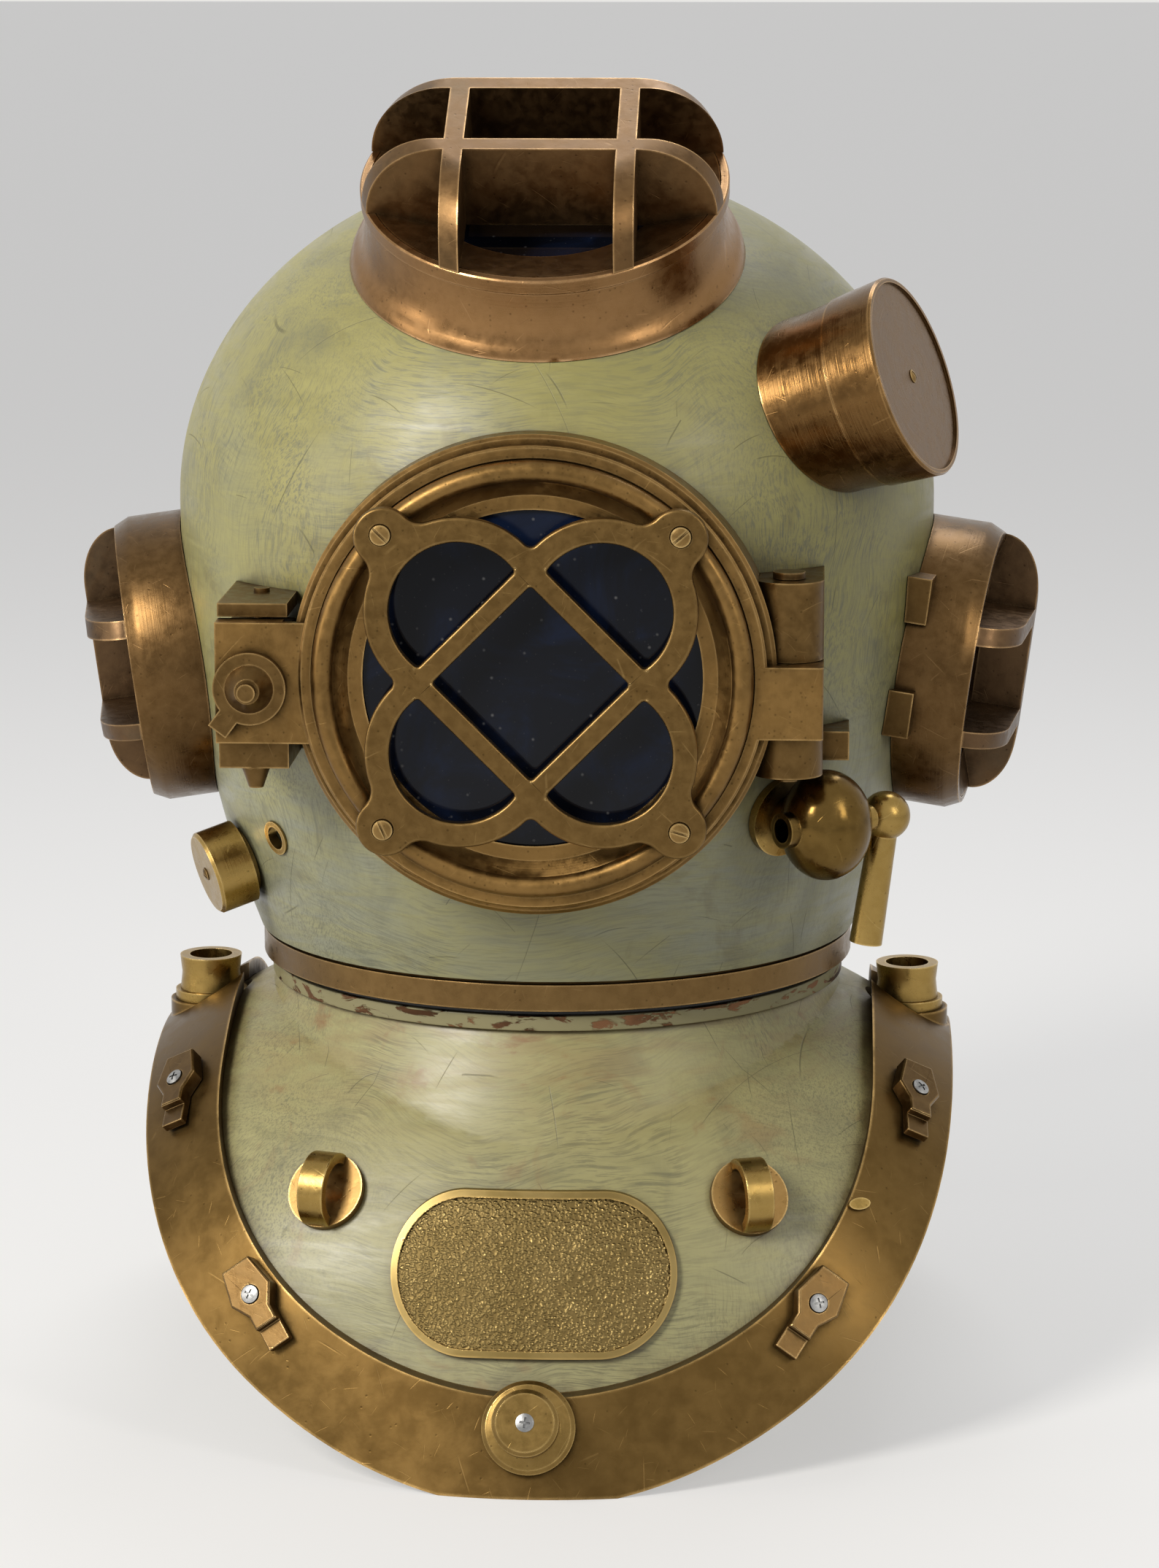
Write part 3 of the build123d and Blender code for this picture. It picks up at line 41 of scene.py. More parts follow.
# Axes of the turned pieces: a point on the axis, in metres, and its direction
TOP_WINDOW = ((0.0, -0.062, 0.445), (0.0, -0.48481, 0.87462))
RIGHT_WINDOW = ((0.144, -0.0005, 0.2845), (0.9818, -0.13798, -0.13053))
LEFT_WINDOW = ((-0.144, -0.0005, 0.2845), (-0.9818, -0.13798, -0.13053))
DOOR = ((0.0, -0.156, 0.301), (0.0, -1.0, 0.0))
EXHAUST = ((0.11033, -0.0862, 0.396), (0.8885, -0.32339, 0.32557))
SIDE_KNOB = ((-0.11976, -0.05332, 0.21), (-0.877, -0.39047, -0.28))
FRONT_KNOB = ((0.0, -0.19044, 0.024), (0.0, -0.91355, 0.40674))
REAR_KNOB = ((0.0, 0.19044, 0.024), (0.0, 0.91355, 0.40674))
NECK = ((0.0, 0.0, 0.17), (0.0, 0.0, 1.0))

FLOAT = "NodeSocketFloat"
VECTOR = "NodeSocketVector"
GEOMETRY = "NodeSocketGeometry"


# Node building

def put(tree, kind, inputs=None, **settings):
    """Adds a node; each input is a constant or another node's output socket."""
    node = tree.nodes.new(kind)
    for key, value in settings.items():
        setattr(node, key, value)
    for key, value in (inputs or {}).items():
        if isinstance(value, bpy.types.NodeSocket):
            tree.links.new(value, node.inputs[key])
        else:
            node.inputs[key].default_value = value
    return node


def maths(tree, operation, *values, clamp=False):
    inputs = dict(enumerate(values))
    return put(tree, "ShaderNodeMath", inputs, operation=operation, use_clamp=clamp).outputs[0]


def times(tree, first, second):
    return maths(tree, "MULTIPLY", first, second)


def inverse(tree, mask):
    return maths(tree, "SUBTRACT", 1.0, mask)


def vector_maths(tree, operation, *values):
    """Gives a number for a dot product or a length, and a vector for the rest."""
    node = put(tree, "ShaderNodeVectorMath", dict(enumerate(values)), operation=operation)
    return node.outputs["Value" if operation in ("DOT_PRODUCT", "LENGTH") else "Vector"]


def ease(tree, value, low, high, low_out=0.0, high_out=1.0):
    """Maps the range from low to high smoothly onto another range."""
    return put(tree, "ShaderNodeMapRange", {
        "Value": value, "From Min": low, "From Max": high, "To Min": low_out, "To Max": high_out,
    }, interpolation_type="SMOOTHSTEP").outputs["Result"]


def between(tree, mask, low, high):
    """Turns a mask into a value that runs smoothly from low to high."""
    return ease(tree, mask, 0.0, 1.0, low, high)


def blend_colours(tree, share, first, second):
    """Mixes two colours, each a constant or a socket, by a share from 0 to 1."""
    inputs = {0: share, 6: first, 7: second}
    for index in (6, 7):
        if not isinstance(inputs[index], bpy.types.NodeSocket):
            inputs[index] = (*inputs[index], 1.0)
    return put(tree, "ShaderNodeMix", inputs, data_type="RGBA", clamp_factor=True).outputs[2]


def overlay(tree, colour, *layers):
    """Lays colours over the first one in turn; a layer is a mask, its strength and its colour."""
    for mask, strength, over in layers:
        colour = blend_colours(tree, times(tree, mask, strength), colour, over)
    return colour


def new_group(name, inputs, outputs, kind="ShaderNodeTree"):
    """A node group with named sockets: inputs are (kind, name, value), outputs (kind, name)."""
    group = bpy.data.node_groups.new(name, kind)
    for socket_kind, label, value in inputs:
        socket = group.interface.new_socket(label, in_out="INPUT", socket_type=socket_kind)
        if value is not None:
            socket.default_value = value
    for socket_kind, label in outputs:
        group.interface.new_socket(label, in_out="OUTPUT", socket_type=socket_kind)
    return group, group.nodes.new("NodeGroupInput").outputs, group.nodes.new("NodeGroupOutput").inputs


def use(tree, group, **inputs):
    """Places a node group and gives its outputs; underscores in an input's name stand for spaces."""
    named = {label.replace("_", " "): value for label, value in inputs.items()}
    return put(tree, "ShaderNodeGroup", named, node_tree=group).outputs


# Effects that several finishes share

def make_cloudy_mask():
    """Soft uneven patches, for colour that drifts over a surface."""
    group, given, out = new_group("cloudy_mask", [
        (VECTOR, "Place", None), (FLOAT, "Scale", 20.0), (FLOAT, "Detail", 5.0),
        (FLOAT, "Warp", 0.6), (FLOAT, "Low", 0.4), (FLOAT, "High", 0.6),
    ], [(FLOAT, "Mask")])
    noise = put(group, "ShaderNodeTexNoise", {
        "Vector": given["Place"], "Scale": given["Scale"], "Detail": given["Detail"],
        "Roughness": 0.6, "Distortion": given["Warp"]})
    group.links.new(ease(group, noise.outputs["Fac"], given["Low"], given["High"]), out["Mask"])
    return group


def make_scratch_mask():
    """Single thin lines: each cell of the surface carries one slightly bent line, or none."""
    group, given, out = new_group("scratch_mask", [
        (VECTOR, "Place", None), (FLOAT, "Scale", 30.0), (FLOAT, "Width", 0.0003),
        (FLOAT, "Share", 0.5), (FLOAT, "Bend", 6.0),
    ], [(FLOAT, "Mask")])
    cell = put(group, "ShaderNodeTexVoronoi", {"Vector": given["Place"], "Scale": given["Scale"]}).outputs
    local = vector_maths(group, "SUBTRACT", given["Place"], cell["Position"])
    centred = vector_maths(group, "SUBTRACT", cell["Color"], (0.5, 0.5, 0.5))
    across = vector_maths(group, "NORMALIZE", centred)
    side = vector_maths(group, "DOT_PRODUCT", local, across)
    square = vector_maths(group, "DOT_PRODUCT", local, local)
    draws = put(group, "ShaderNodeSeparateColor", {"Color": cell["Color"]}).outputs
    bend = times(group, maths(group, "SUBTRACT", draws[2], 0.5), given["Bend"])
    offset = maths(group, "ABSOLUTE", maths(group, "ADD", side, times(group, square, bend)))
    line = inverse(group, ease(group, offset, times(group, given["Width"], 0.3), given["Width"]))
    reach = times(group, maths(group, "SQRT", square), given["Scale"])
    tapered = ease(group, reach, 0.25, 0.6, 1.0, 0.0)
    mixed = maths(group, "FRACT", times(group, maths(group, "ADD", draws[0], draws[1]), 7.3))
    chosen = maths(group, "LESS_THAN", mixed, given["Share"])
    group.links.new(times(group, times(group, line, tapered), chosen), out["Mask"])
    return group


def make_brush_dashes():
    """Short thin dashes that follow one direction with a slow sway, as a dry brush leaves them."""
    group, given, out = new_group("brush_dashes", [
        (VECTOR, "Place", None), (VECTOR, "Stretch", (1.0, 1.0, 0.1)), (FLOAT, "Scale", 900.0),
        (FLOAT, "Low", 0.55), (FLOAT, "High", 0.7),
    ], [(FLOAT, "Mask")])
    sway = put(group, "ShaderNodeTexNoise", {"Vector": given["Place"], "Scale": 11.0, "Detail": 2.0})
    centred = vector_maths(group, "SUBTRACT", sway.outputs["Color"], (0.5, 0.5, 0.5))
    swayed = vector_maths(group, "MULTIPLY_ADD", centred, (0.05, 0.05, 0.05), given["Place"])
    combed = vector_maths(group, "MULTIPLY", swayed, given["Stretch"])
    noise = put(group, "ShaderNodeTexNoise", {
        "Vector": combed, "Scale": given["Scale"], "Detail": 3.0, "Roughness": 0.6})
    group.links.new(ease(group, noise.outputs["Fac"], given["Low"], given["High"]), out["Mask"])
    return group


def make_turned_lines():
    """Fine rings round an axis, as a lathe or polishing wheel leaves them."""
    group, given, out = new_group("turned_lines", [
        (VECTOR, "Place", None), (VECTOR, "Axis Point", None), (VECTOR, "Axis Direction", (0.0, 0.0, 1.0)),
        (FLOAT, "Scale", 900.0),
    ], [(FLOAT, "Height")])
    local = vector_maths(group, "SUBTRACT", given["Place"], given["Axis Point"])
    along = vector_maths(group, "DOT_PRODUCT", local, given["Axis Direction"])
    square = vector_maths(group, "DOT_PRODUCT", local, local)
    around = maths(group, "SQRT", maths(group, "ABSOLUTE", maths(
        group, "SUBTRACT", square, times(group, along, along))))
    noise = put(group, "ShaderNodeTexNoise", {
        "W": maths(group, "ADD", along, around), "Scale": given["Scale"], "Detail": 3.0,
        "Roughness": 0.7}, noise_dimensions="1D")
    patches = put(group, "ShaderNodeTexNoise", {
        "Vector": given["Place"], "Scale": 60.0, "Detail": 3.0, "Roughness": 0.6})
    strength = ease(group, patches.outputs["Fac"], 0.3, 0.7, 0.4, 1.0)
    centred = maths(group, "SUBTRACT", noise.outputs["Fac"], 0.5)
    group.links.new(times(group, centred, strength), out["Height"])
    return group


def make_edge_wear_and_shade():
    """Rubbed bright edges, where the surface bends sharply, and painted shade in corners, where close
    surfaces shade them.
    """
    group, given, out = new_group("worn_edges", [
        (VECTOR, "Place", None), (FLOAT, "Width", 0.0012), (FLOAT, "Corner Reach", 0.007),
    ], [(FLOAT, "Edge"), (FLOAT, "Corner")])
    rounded = put(group, "ShaderNodeBevel", {"Radius": given["Width"]}, samples=4).outputs[0]
    flat = put(group, "ShaderNodeNewGeometry").outputs["Normal"]
    bent = ease(group, inverse(group, vector_maths(group, "DOT_PRODUCT", rounded, flat)), 0.004, 0.12)
    openness = put(group, "ShaderNodeAmbientOcclusion", {"Distance": given["Corner Reach"]},
                   samples=6, only_local=False).outputs["AO"]
    patches = put(group, "ShaderNodeTexNoise", {
        "Vector": given["Place"], "Scale": 90.0, "Detail": 4.0, "Roughness": 0.65}).outputs["Fac"]
    out_in_open = times(group, bent, ease(group, openness, 0.55, 0.9))
    edge = times(group, out_in_open, ease(group, patches, 0.25, 0.7, 0.25, 1.0))
    group.links.new(edge, out["Edge"])
    # The corner mask is painted shade: ambient occlusion from close surfaces, with a little noise.
    shaded = maths(group, "ADD", inverse(group, openness), ease(group, patches, 0.3, 0.7, -0.12, 0.12))
    group.links.new(ease(group, shaded, 0.12, 0.75), out["Corner"])
    return group


def make_specks():
    """Small scattered dots, for pits and dust."""
    group, given, out = new_group("specks", [
        (VECTOR, "Place", None), (FLOAT, "Scale", 200.0), (FLOAT, "Size", 0.2), (FLOAT, "Share", 0.3),
    ], [(FLOAT, "Mask")])
    cell = put(group, "ShaderNodeTexVoronoi", {"Vector": given["Place"], "Scale": given["Scale"]}).outputs
    dot = inverse(group, ease(group, cell["Distance"], 0.0, given["Size"]))
    draw = put(group, "ShaderNodeSeparateColor", {"Color": cell["Color"]}).outputs[0]
    chosen = maths(group, "LESS_THAN", draw, given["Share"])
    group.links.new(times(group, dot, chosen), out["Mask"])
    return group


CLOUDY = make_cloudy_mask()
SCRATCHES = make_scratch_mask()
DASHES = make_brush_dashes()
TURNED = make_turned_lines()
WEAR_AND_SHADE = make_edge_wear_and_shade()
SPECKS = make_specks()


# Materials

# Scale, width in metres, share of cells with a line, bend and strength of each layer of scratches
METAL_SCRATCHES = (
    (70.0, 0.00022, 0.3, 12.0, 1.0),
    (170.0, 0.00012, 0.5, 25.0, 0.7),
)
PAINT_SCRATCHES = (
    (13.0, 0.00020, 0.35, 14.0, 0.4),
    (21.0, 0.00024, 0.35, 16.0, 0.55),
    (34.0, 0.00022, 0.35, 22.0, 0.55),
    (60.0, 0.00020, 0.4, 34.0, 0.5),
)
SCRATCHED_PAINT = (0.045, 0.042, 0.02)

# Scale, low and high threshold of the broad and the thin dashes, and how their noise is stretched
BRUSH_DASHES = ((640.0, 0.52, 0.64), (1500.0, 0.5, 0.6))
LYING = (0.065, 0.065, 1.0)
UPRIGHT = (1.0, 1.0, 0.07)

LATHE_LINES = 900.0

# The name plate's sunk ground: its ends are round about two points at one height, in metres
PLATE_END = 0.0255
PLATE_HEIGHT = 0.0746
PLATE_GROUND_RADIUS = 0.0261


def toward(first, second, share):
    """The colour that lies a share of the way from the first to the second."""
    return tuple(a + (b - a) * share for a, b in zip(first, second))


def dimmed(colour, share):
    return tuple(v * share for v in colour)


def new_material(name):
    material = bpy.data.materials.new(name)
    material.use_nodes = True
    tree = material.node_tree
    tree.nodes.clear()
    out = tree.nodes.new("ShaderNodeOutputMaterial")
    shader = tree.nodes.new("ShaderNodeBsdfPrincipled")
    tree.links.new(shader.outputs[0], out.inputs["Surface"])
    place = tree.nodes.new("ShaderNodeTexCoord").outputs["Object"]
    return material, tree, shader, place


def set_surface(tree, shader, colour, roughness, relief=None, strength=1.0, distance=MM):
    """Links a material's colour and roughness and, where it has one, its relief."""
    tree.links.new(colour, shader.inputs["Base Color"])
    tree.links.new(roughness, shader.inputs["Roughness"])
    if relief is not None:
        bump = put(tree, "ShaderNodeBump", {"Height": relief, "Strength": strength, "Distance": distance})
        tree.links.new(bump.outputs[0], shader.inputs["Normal"])


def scratch_marks(tree, place, layers):
    """The strongest line of several layers of scratches."""
    marks = None
    for scale, width, cover, bend, strength in layers:
        lines = use(tree, SCRATCHES, Place=place, Scale=scale, Width=width, Share=cover, Bend=bend)[0]
        lines = times(tree, lines, strength)
        marks = lines if marks is None else maths(tree, "MAXIMUM", marks, lines)
    return marks


def aged_metal(name, deep, middle, worn, rough=(0.3, 0.45), turned=None, corner_shade=0.8, edge=0.8,
               patch_scale=18.0, mottle=0.6, pit=0.12, line_strength=0.5, stain=None, edge_width=1.2 * MM):
    """Old copper alloy: drifting tone, painted shade in corners, rubbed edges, fine scratches and pits.

    Its dark, usual and rubbed colours are deep, middle and worn; turned is the axis of its lathe lines.
    """
    material, tree, shader, place = new_material(name)
    tone = use(tree, CLOUDY, Place=place, Scale=patch_scale, Detail=5.0, Warp=0.6, Low=0.25, High=0.75)[0]
    fine = use(tree, CLOUDY, Place=place, Scale=patch_scale * 12, Detail=4.0, Warp=0.2, Low=0.25,
               High=0.75)[0]
    wear_and_shade = use(tree, WEAR_AND_SHADE, Place=place, Width=edge_width)
    scratch = scratch_marks(tree, place, METAL_SCRATCHES)
    pits = use(tree, SPECKS, Place=place, Scale=520.0, Size=0.35, Share=pit)[0]
    half = toward(deep, middle, 0.5)
    colour = blend_colours(tree, tone, toward(half, deep, mottle), toward(half, middle, mottle))
    if stain:
        drift = use(tree, CLOUDY, Place=place, Scale=patch_scale * 0.7, Detail=5.0, Warp=1.2, Low=0.48,
                    High=0.75)[0]
        colour = overlay(tree, colour, (drift, 0.55, stain))
    # Dark colour of the pits, also laid below as painted shade in the corners, at the strength given by grime
    pit_and_shade_colour = dimmed(deep, 0.14)
    colour = overlay(tree, colour, (fine, 0.22, toward(middle, worn, 0.25)), (scratch, 0.1, worn),
                     (pits, 0.5, pit_and_shade_colour), (wear_and_shade["Corner"], corner_shade, pit_and_shade_colour), (wear_and_shade["Edge"], edge, worn))
    shine = between(tree, fine, *rough)
    shine = maths(tree, "ADD", shine, times(tree, wear_and_shade["Corner"], 0.35), clamp=True)
    shine = maths(tree, "SUBTRACT", shine, times(tree, wear_and_shade["Edge"], 0.1), clamp=True)
    height = times(tree, pits, -0.4)
    height = maths(tree, "ADD", height, times(tree, scratch, -0.4))
    height = maths(tree, "ADD", height, times(tree, fine, 0.25))
    if turned:
        point, direction = turned
        lines = use(tree, TURNED, Place=place, Axis_Point=point, Axis_Direction=direction,
                    Scale=LATHE_LINES)[0]
        height = maths(tree, "ADD", height, times(tree, lines, line_strength))
    shader.inputs["Metallic"].default_value = 1.0
    set_surface(tree, shader, colour, shine, height, 0.3, 0.3 * MM)
    return material


def dry_brush_marks(tree, place, across, drift):
    """Broad and thin dashes in patches, which lie along the front and stand upright at the sides."""
    at_side = ease(tree, maths(tree, "ABSOLUTE", across), 0.03, 0.1, -0.25, 1.0)
    at_side = maths(tree, "ADD", at_side, between(tree, drift, -0.35, 0.35), clamp=True)
    patches = use(tree, CLOUDY, Place=place, Scale=15.0, Detail=5.0, Warp=0.5, Low=0.3, High=0.7)[0]
    cover = between(tree, patches, 0.3, 1.0)
    marks = []
    for scale, low, high in BRUSH_DASHES:
        lying, upright = (
            use(tree, DASHES, Place=place, Stretch=stretch, Scale=scale, Low=low, High=high)[0]
            for stretch in (LYING, UPRIGHT))
        dashes = put(tree, "ShaderNodeMix", {0: at_side, 2: lying, 3: upright}, data_type="FLOAT")
        marks.append(times(tree, dashes.outputs[0], cover))
    return marks


def aged_paint(name, upper, lower, low_z, high_z, stain, stain_cover, neck_stain=None):
    """Old satin paint: two tones that meet between two heights, brush marks, stains and scratches."""
    material, tree, shader, place = new_material(name)
    apart = put(tree, "ShaderNodeSeparateXYZ", {0: place}).outputs
    drift = use(tree, CLOUDY, Place=place, Scale=7.0, Detail=5.0, Warp=1.5, Low=0.3, High=0.7)[0]
    raised = maths(tree, "ADD", ease(tree, apart["Z"], low_z, high_z), between(tree, drift, -0.35, 0.35),
                   clamp=True)
    colour = blend_colours(tree, raised, lower, upper)
    combed = vector_maths(tree, "MULTIPLY", place, (1.0, 1.0, 5.0))
    brush = use(tree, CLOUDY, Place=combed, Scale=30.0, Detail=9.0, Warp=0.8, Low=0.25, High=0.75)[0]
    broad, thin = dry_brush_marks(tree, place, apart["X"], drift)
    dusk = use(tree, CLOUDY, Place=place, Scale=13.0, Detail=8.0, Warp=1.8, Low=0.5, High=0.75)[0]
    blot = use(tree, CLOUDY, Place=place, Scale=24.0, Detail=9.0, Warp=1.6, Low=0.57, High=0.7)[0]
    pale = tuple(min(1.0, v * 1.3 + 0.02) for v in upper)
    dark = dimmed(lower, 0.42)
    colour = overlay(tree, colour, (brush, 0.5, pale), (broad, 0.5, dark), (thin, 0.62, dark),
                     (dusk, 0.45, dark), (blot, stain_cover, stain))
    if neck_stain:
        near = times(tree, ease(tree, apart["Z"], *neck_stain), between(tree, blot, 0.35, 1.0))
        rag = use(tree, CLOUDY, Place=combed, Scale=14.0, Detail=8.0, Warp=2.0, Low=0.38, High=0.62)[0]
        colour = overlay(tree, colour, (times(tree, near, rag), 0.75, stain))
    marks = scratch_marks(tree, place, PAINT_SCRATCHES)
    colour = blend_colours(tree, marks, colour, SCRATCHED_PAINT)
    wear_and_shade = use(tree, WEAR_AND_SHADE, Place=place, Width=1.0 * MM, Corner_Reach=12.0 * MM)
    # Painted shade in corners: a dark stain colour where close surfaces shade the paint.
    colour = overlay(tree, colour, (wear_and_shade["Corner"], 0.8, dimmed(stain, 0.3)))
    shine = maths(tree, "ADD", between(tree, brush, 0.36, 0.52), times(tree, marks, 0.25), clamp=True)
    relief = maths(tree, "ADD", times(tree, brush, 0.5), times(tree, marks, -0.8))
    shader.inputs["Specular IOR Level"].default_value = 0.55
    shader.inputs["Coat Weight"].default_value = 0.2
    shader.inputs["Coat Roughness"].default_value = 0.34
    set_surface(tree, shader, colour, shine, relief, 0.35, 0.4 * MM)
    return material


def chipped_band():
    """Neck band below the joint: tarnished copper with flaking cream paint."""
    material, tree, shader, place = new_material("chipped_band")
    flat = vector_maths(tree, "MULTIPLY", place, (1.0, 1.0, 3.0))
    flakes = use(tree, CLOUDY, Place=flat, Scale=60.0, Detail=9.0, Warp=0.8, Low=0.43, High=0.48)[0]
    tarnish = use(tree, CLOUDY, Place=flat, Scale=20.0, Detail=6.0, Warp=1.0, Low=0.4, High=0.6)[0]
    copper = blend_colours(tree, tarnish, (0.07, 0.035, 0.018), (0.2, 0.1, 0.05))
    colour = blend_colours(tree, flakes, copper, (0.27, 0.24, 0.12))
    wear_and_shade = use(tree, WEAR_AND_SHADE, Place=place)
    # Painted shade in the band's corners, where close parts shade it.
    colour = overlay(tree, colour, (wear_and_shade["Corner"], 0.7, (0.02, 0.015, 0.008)))
    tree.links.new(inverse(tree, flakes), shader.inputs["Metallic"])
    set_surface(tree, shader, colour, between(tree, tarnish, 0.35, 0.6), flakes, 0.6, 0.5 * MM)
    return material


def stippled_plate():
    """Name plate: gold brass with a hammered dotted ground."""
    material, tree, shader, place = new_material("stippled_plate")
    cells = put(tree, "ShaderNodeTexVoronoi", {"Vector": place, "Scale": 900.0}, feature="SMOOTH_F1")
    apart = put(tree, "ShaderNodeSeparateXYZ", {0: place}).outputs
    beyond = maths(tree, "SUBTRACT", maths(tree, "ABSOLUTE", apart["X"]), PLATE_END)
    beyond = maths(tree, "MAXIMUM", beyond, 0.0)
    rise = maths(tree, "SUBTRACT", apart["Z"], PLATE_HEIGHT)
    from_end = put(tree, "ShaderNodeCombineXYZ", {0: beyond, 1: rise}).outputs[0]
    ground = maths(tree, "LESS_THAN", vector_maths(tree, "LENGTH", from_end), PLATE_GROUND_RADIUS)
    dots = times(tree, ease(tree, cells.outputs["Distance"], 0.15, 0.6), ground)
    tone = use(tree, CLOUDY, Place=place, Scale=30.0, Detail=6.0, Warp=0.8, Low=0.35, High=0.65)[0]
    wear_and_shade = use(tree, WEAR_AND_SHADE, Place=place)
    colour = blend_colours(tree, tone, (0.25, 0.175, 0.06), (0.35, 0.25, 0.095))
    # The third layer below is painted shade in the plate's corners; the last is rubbed bright edges.
    colour = overlay(tree, colour, (ground, 0.5, (0.15, 0.11, 0.045)), (dots, 0.45, (0.08, 0.05, 0.016)),
                     (wear_and_shade["Corner"], 0.7, (0.03, 0.02, 0.008)), (wear_and_shade["Edge"], 0.8, (0.6, 0.4, 0.14)))
    shader.inputs["Metallic"].default_value = 1.0
    set_surface(tree, shader, colour, between(tree, dots, 0.28, 0.5), times(tree, dots, -1.0), 0.8, 0.5 * MM)
    return material


def thick_glass():
    """Window glass painted near black for the shade inside the helmet behind it, with a faint blue cast, dust
    and rubbed specks.
    """
    material, tree, shader, place = new_material("thick_glass")
    haze = use(tree, CLOUDY, Place=place, Scale=24.0, Detail=6.0, Warp=1.5, Low=0.45, High=0.75)[0]
    dust = use(tree, SPECKS, Place=place, Scale=330.0, Size=0.28, Share=0.12)[0]
    fine = use(tree, SPECKS, Place=place, Scale=900.0, Size=0.3, Share=0.1)[0]
    # The near-black colours are painted shade: the glass is opaque and stands for the dark inside of the
    # helmet.
    colour = blend_colours(tree, haze, (0.004, 0.005, 0.009), (0.006, 0.012, 0.034))
    colour = overlay(tree, colour, (dust, 0.6, (0.2, 0.2, 0.2)), (fine, 0.35, (0.1, 0.1, 0.1)))
    shader.inputs["IOR"].default_value = 1.5
    shader.inputs["Specular IOR Level"].default_value = 0.2
    set_surface(tree, shader, colour, between(tree, haze, 0.06, 0.14))
    return material


def plain_rubber():
    material, tree, shader, place = new_material("black_rubber")
    tone = use(tree, CLOUDY, Place=place, Scale=60.0, Detail=5.0, Warp=0.5, Low=0.3, High=0.7)[0]
    colour = blend_colours(tree, tone, (0.008, 0.008, 0.008), (0.025, 0.024, 0.022))
    tree.links.new(colour, shader.inputs["Base Color"])
    shader.inputs["Roughness"].default_value = 0.6
    return material


def grey_steel():
    material, tree, shader, place = new_material("grey_steel")
    tone = use(tree, CLOUDY, Place=place, Scale=180.0, Detail=5.0, Warp=0.5, Low=0.35, High=0.65)[0]
    wear_and_shade = use(tree, WEAR_AND_SHADE, Place=place, Width=0.5 * MM, Corner_Reach=2.0 * MM)
    colour = blend_colours(tree, tone, (0.25, 0.25, 0.25), (0.48, 0.48, 0.47))
    # Painted shade where close surfaces shade the steel.
    colour = overlay(tree, colour, (wear_and_shade["Corner"], 0.8, (0.03, 0.03, 0.03)))
    shader.inputs["Metallic"].default_value = 1.0
    set_surface(tree, shader, colour, between(tree, tone, 0.3, 0.45))
    return material


# The object's finishes

GREEN = aged_paint("green_paint", (0.30, 0.272, 0.088), (0.29, 0.30, 0.21), 0.19, 0.36,
                   (0.12, 0.095, 0.035), 0.3)
CREAM = aged_paint("cream_paint", (0.33, 0.30, 0.125), (0.34, 0.32, 0.16), 0.04, 0.12,
                   (0.25, 0.13, 0.045), 0.35, neck_stain=(0.105, 0.15))
TOP_COPPER = aged_metal("top_copper", rough=(0.26, 0.36), turned=TOP_WINDOW, mottle=0.5,
                        deep=(0.17, 0.088, 0.034), middle=(0.31, 0.172, 0.068), worn=(0.75, 0.47, 0.24))
CAGE_COPPER = aged_metal("cage_copper", deep=(0.085, 0.047, 0.02), middle=(0.19, 0.105, 0.042),
                         worn=(0.72, 0.45, 0.2), rough=(0.34, 0.46), stain=(0.06, 0.048, 0.026), edge=0.9)
SIDE_TONES = dict(deep=(0.075, 0.04, 0.014), middle=(0.13, 0.072, 0.026), worn=(0.7, 0.44, 0.2))
RIGHT_BRASS = aged_metal("right_brass", rough=(0.26, 0.36), turned=RIGHT_WINDOW, **SIDE_TONES)
LEFT_BRASS = aged_metal("left_brass", rough=(0.26, 0.36), turned=LEFT_WINDOW, **SIDE_TONES)
GUARD = aged_metal("guard_bronze", deep=(0.07, 0.042, 0.022), middle=(0.15, 0.088, 0.045),
                   worn=(0.66, 0.42, 0.2), rough=(0.34, 0.5), stain=(0.1, 0.09, 0.065), corner_shade=0.9, mottle=0.9)
EXHAUST_BRASS = aged_metal("exhaust_brass", deep=(0.105, 0.054, 0.018), middle=(0.16, 0.085, 0.028),
                           worn=(0.72, 0.44, 0.18), rough=(0.2, 0.3), turned=EXHAUST, line_strength=0.9,
                           mottle=0.25)
DOOR_BRONZE = aged_metal("door_bronze", deep=(0.10, 0.056, 0.018), middle=(0.25, 0.142, 0.044),
                         worn=(0.72, 0.47, 0.19), rough=(0.3, 0.46), turned=DOOR, corner_shade=0.95, mottle=0.9,
                         pit=0.35)
GRILLE_BRONZE = aged_metal("grille_bronze", deep=(0.10, 0.057, 0.018), middle=(0.165, 0.095, 0.03),
                           worn=(0.74, 0.5, 0.2), rough=(0.3, 0.44), pit=0.2, edge=0.9)
DARK_BRONZE = aged_metal("dark_bronze", deep=(0.075, 0.042, 0.014), middle=(0.15, 0.086, 0.028),
                         worn=(0.7, 0.46, 0.19), rough=(0.3, 0.46))
TAP_BRONZE = aged_metal("tap_bronze", deep=(0.07, 0.04, 0.01), middle=(0.15, 0.09, 0.025),
                        worn=(0.6, 0.4, 0.13), rough=(0.16, 0.28))
RIM_BRONZE = aged_metal("rim_bronze", deep=(0.095, 0.053, 0.015), middle=(0.135, 0.08, 0.024),
                        worn=(0.74, 0.48, 0.18), rough=(0.3, 0.4), patch_scale=7.0, pit=0.05, mottle=0.5,
                        edge_width=1.8 * MM, edge=0.9)
NECK_BRONZE = aged_metal("neck_bronze", deep=(0.11, 0.062, 0.022), middle=(0.19, 0.115, 0.042),
                         worn=(0.64, 0.42, 0.18), rough=(0.26, 0.38), turned=NECK)
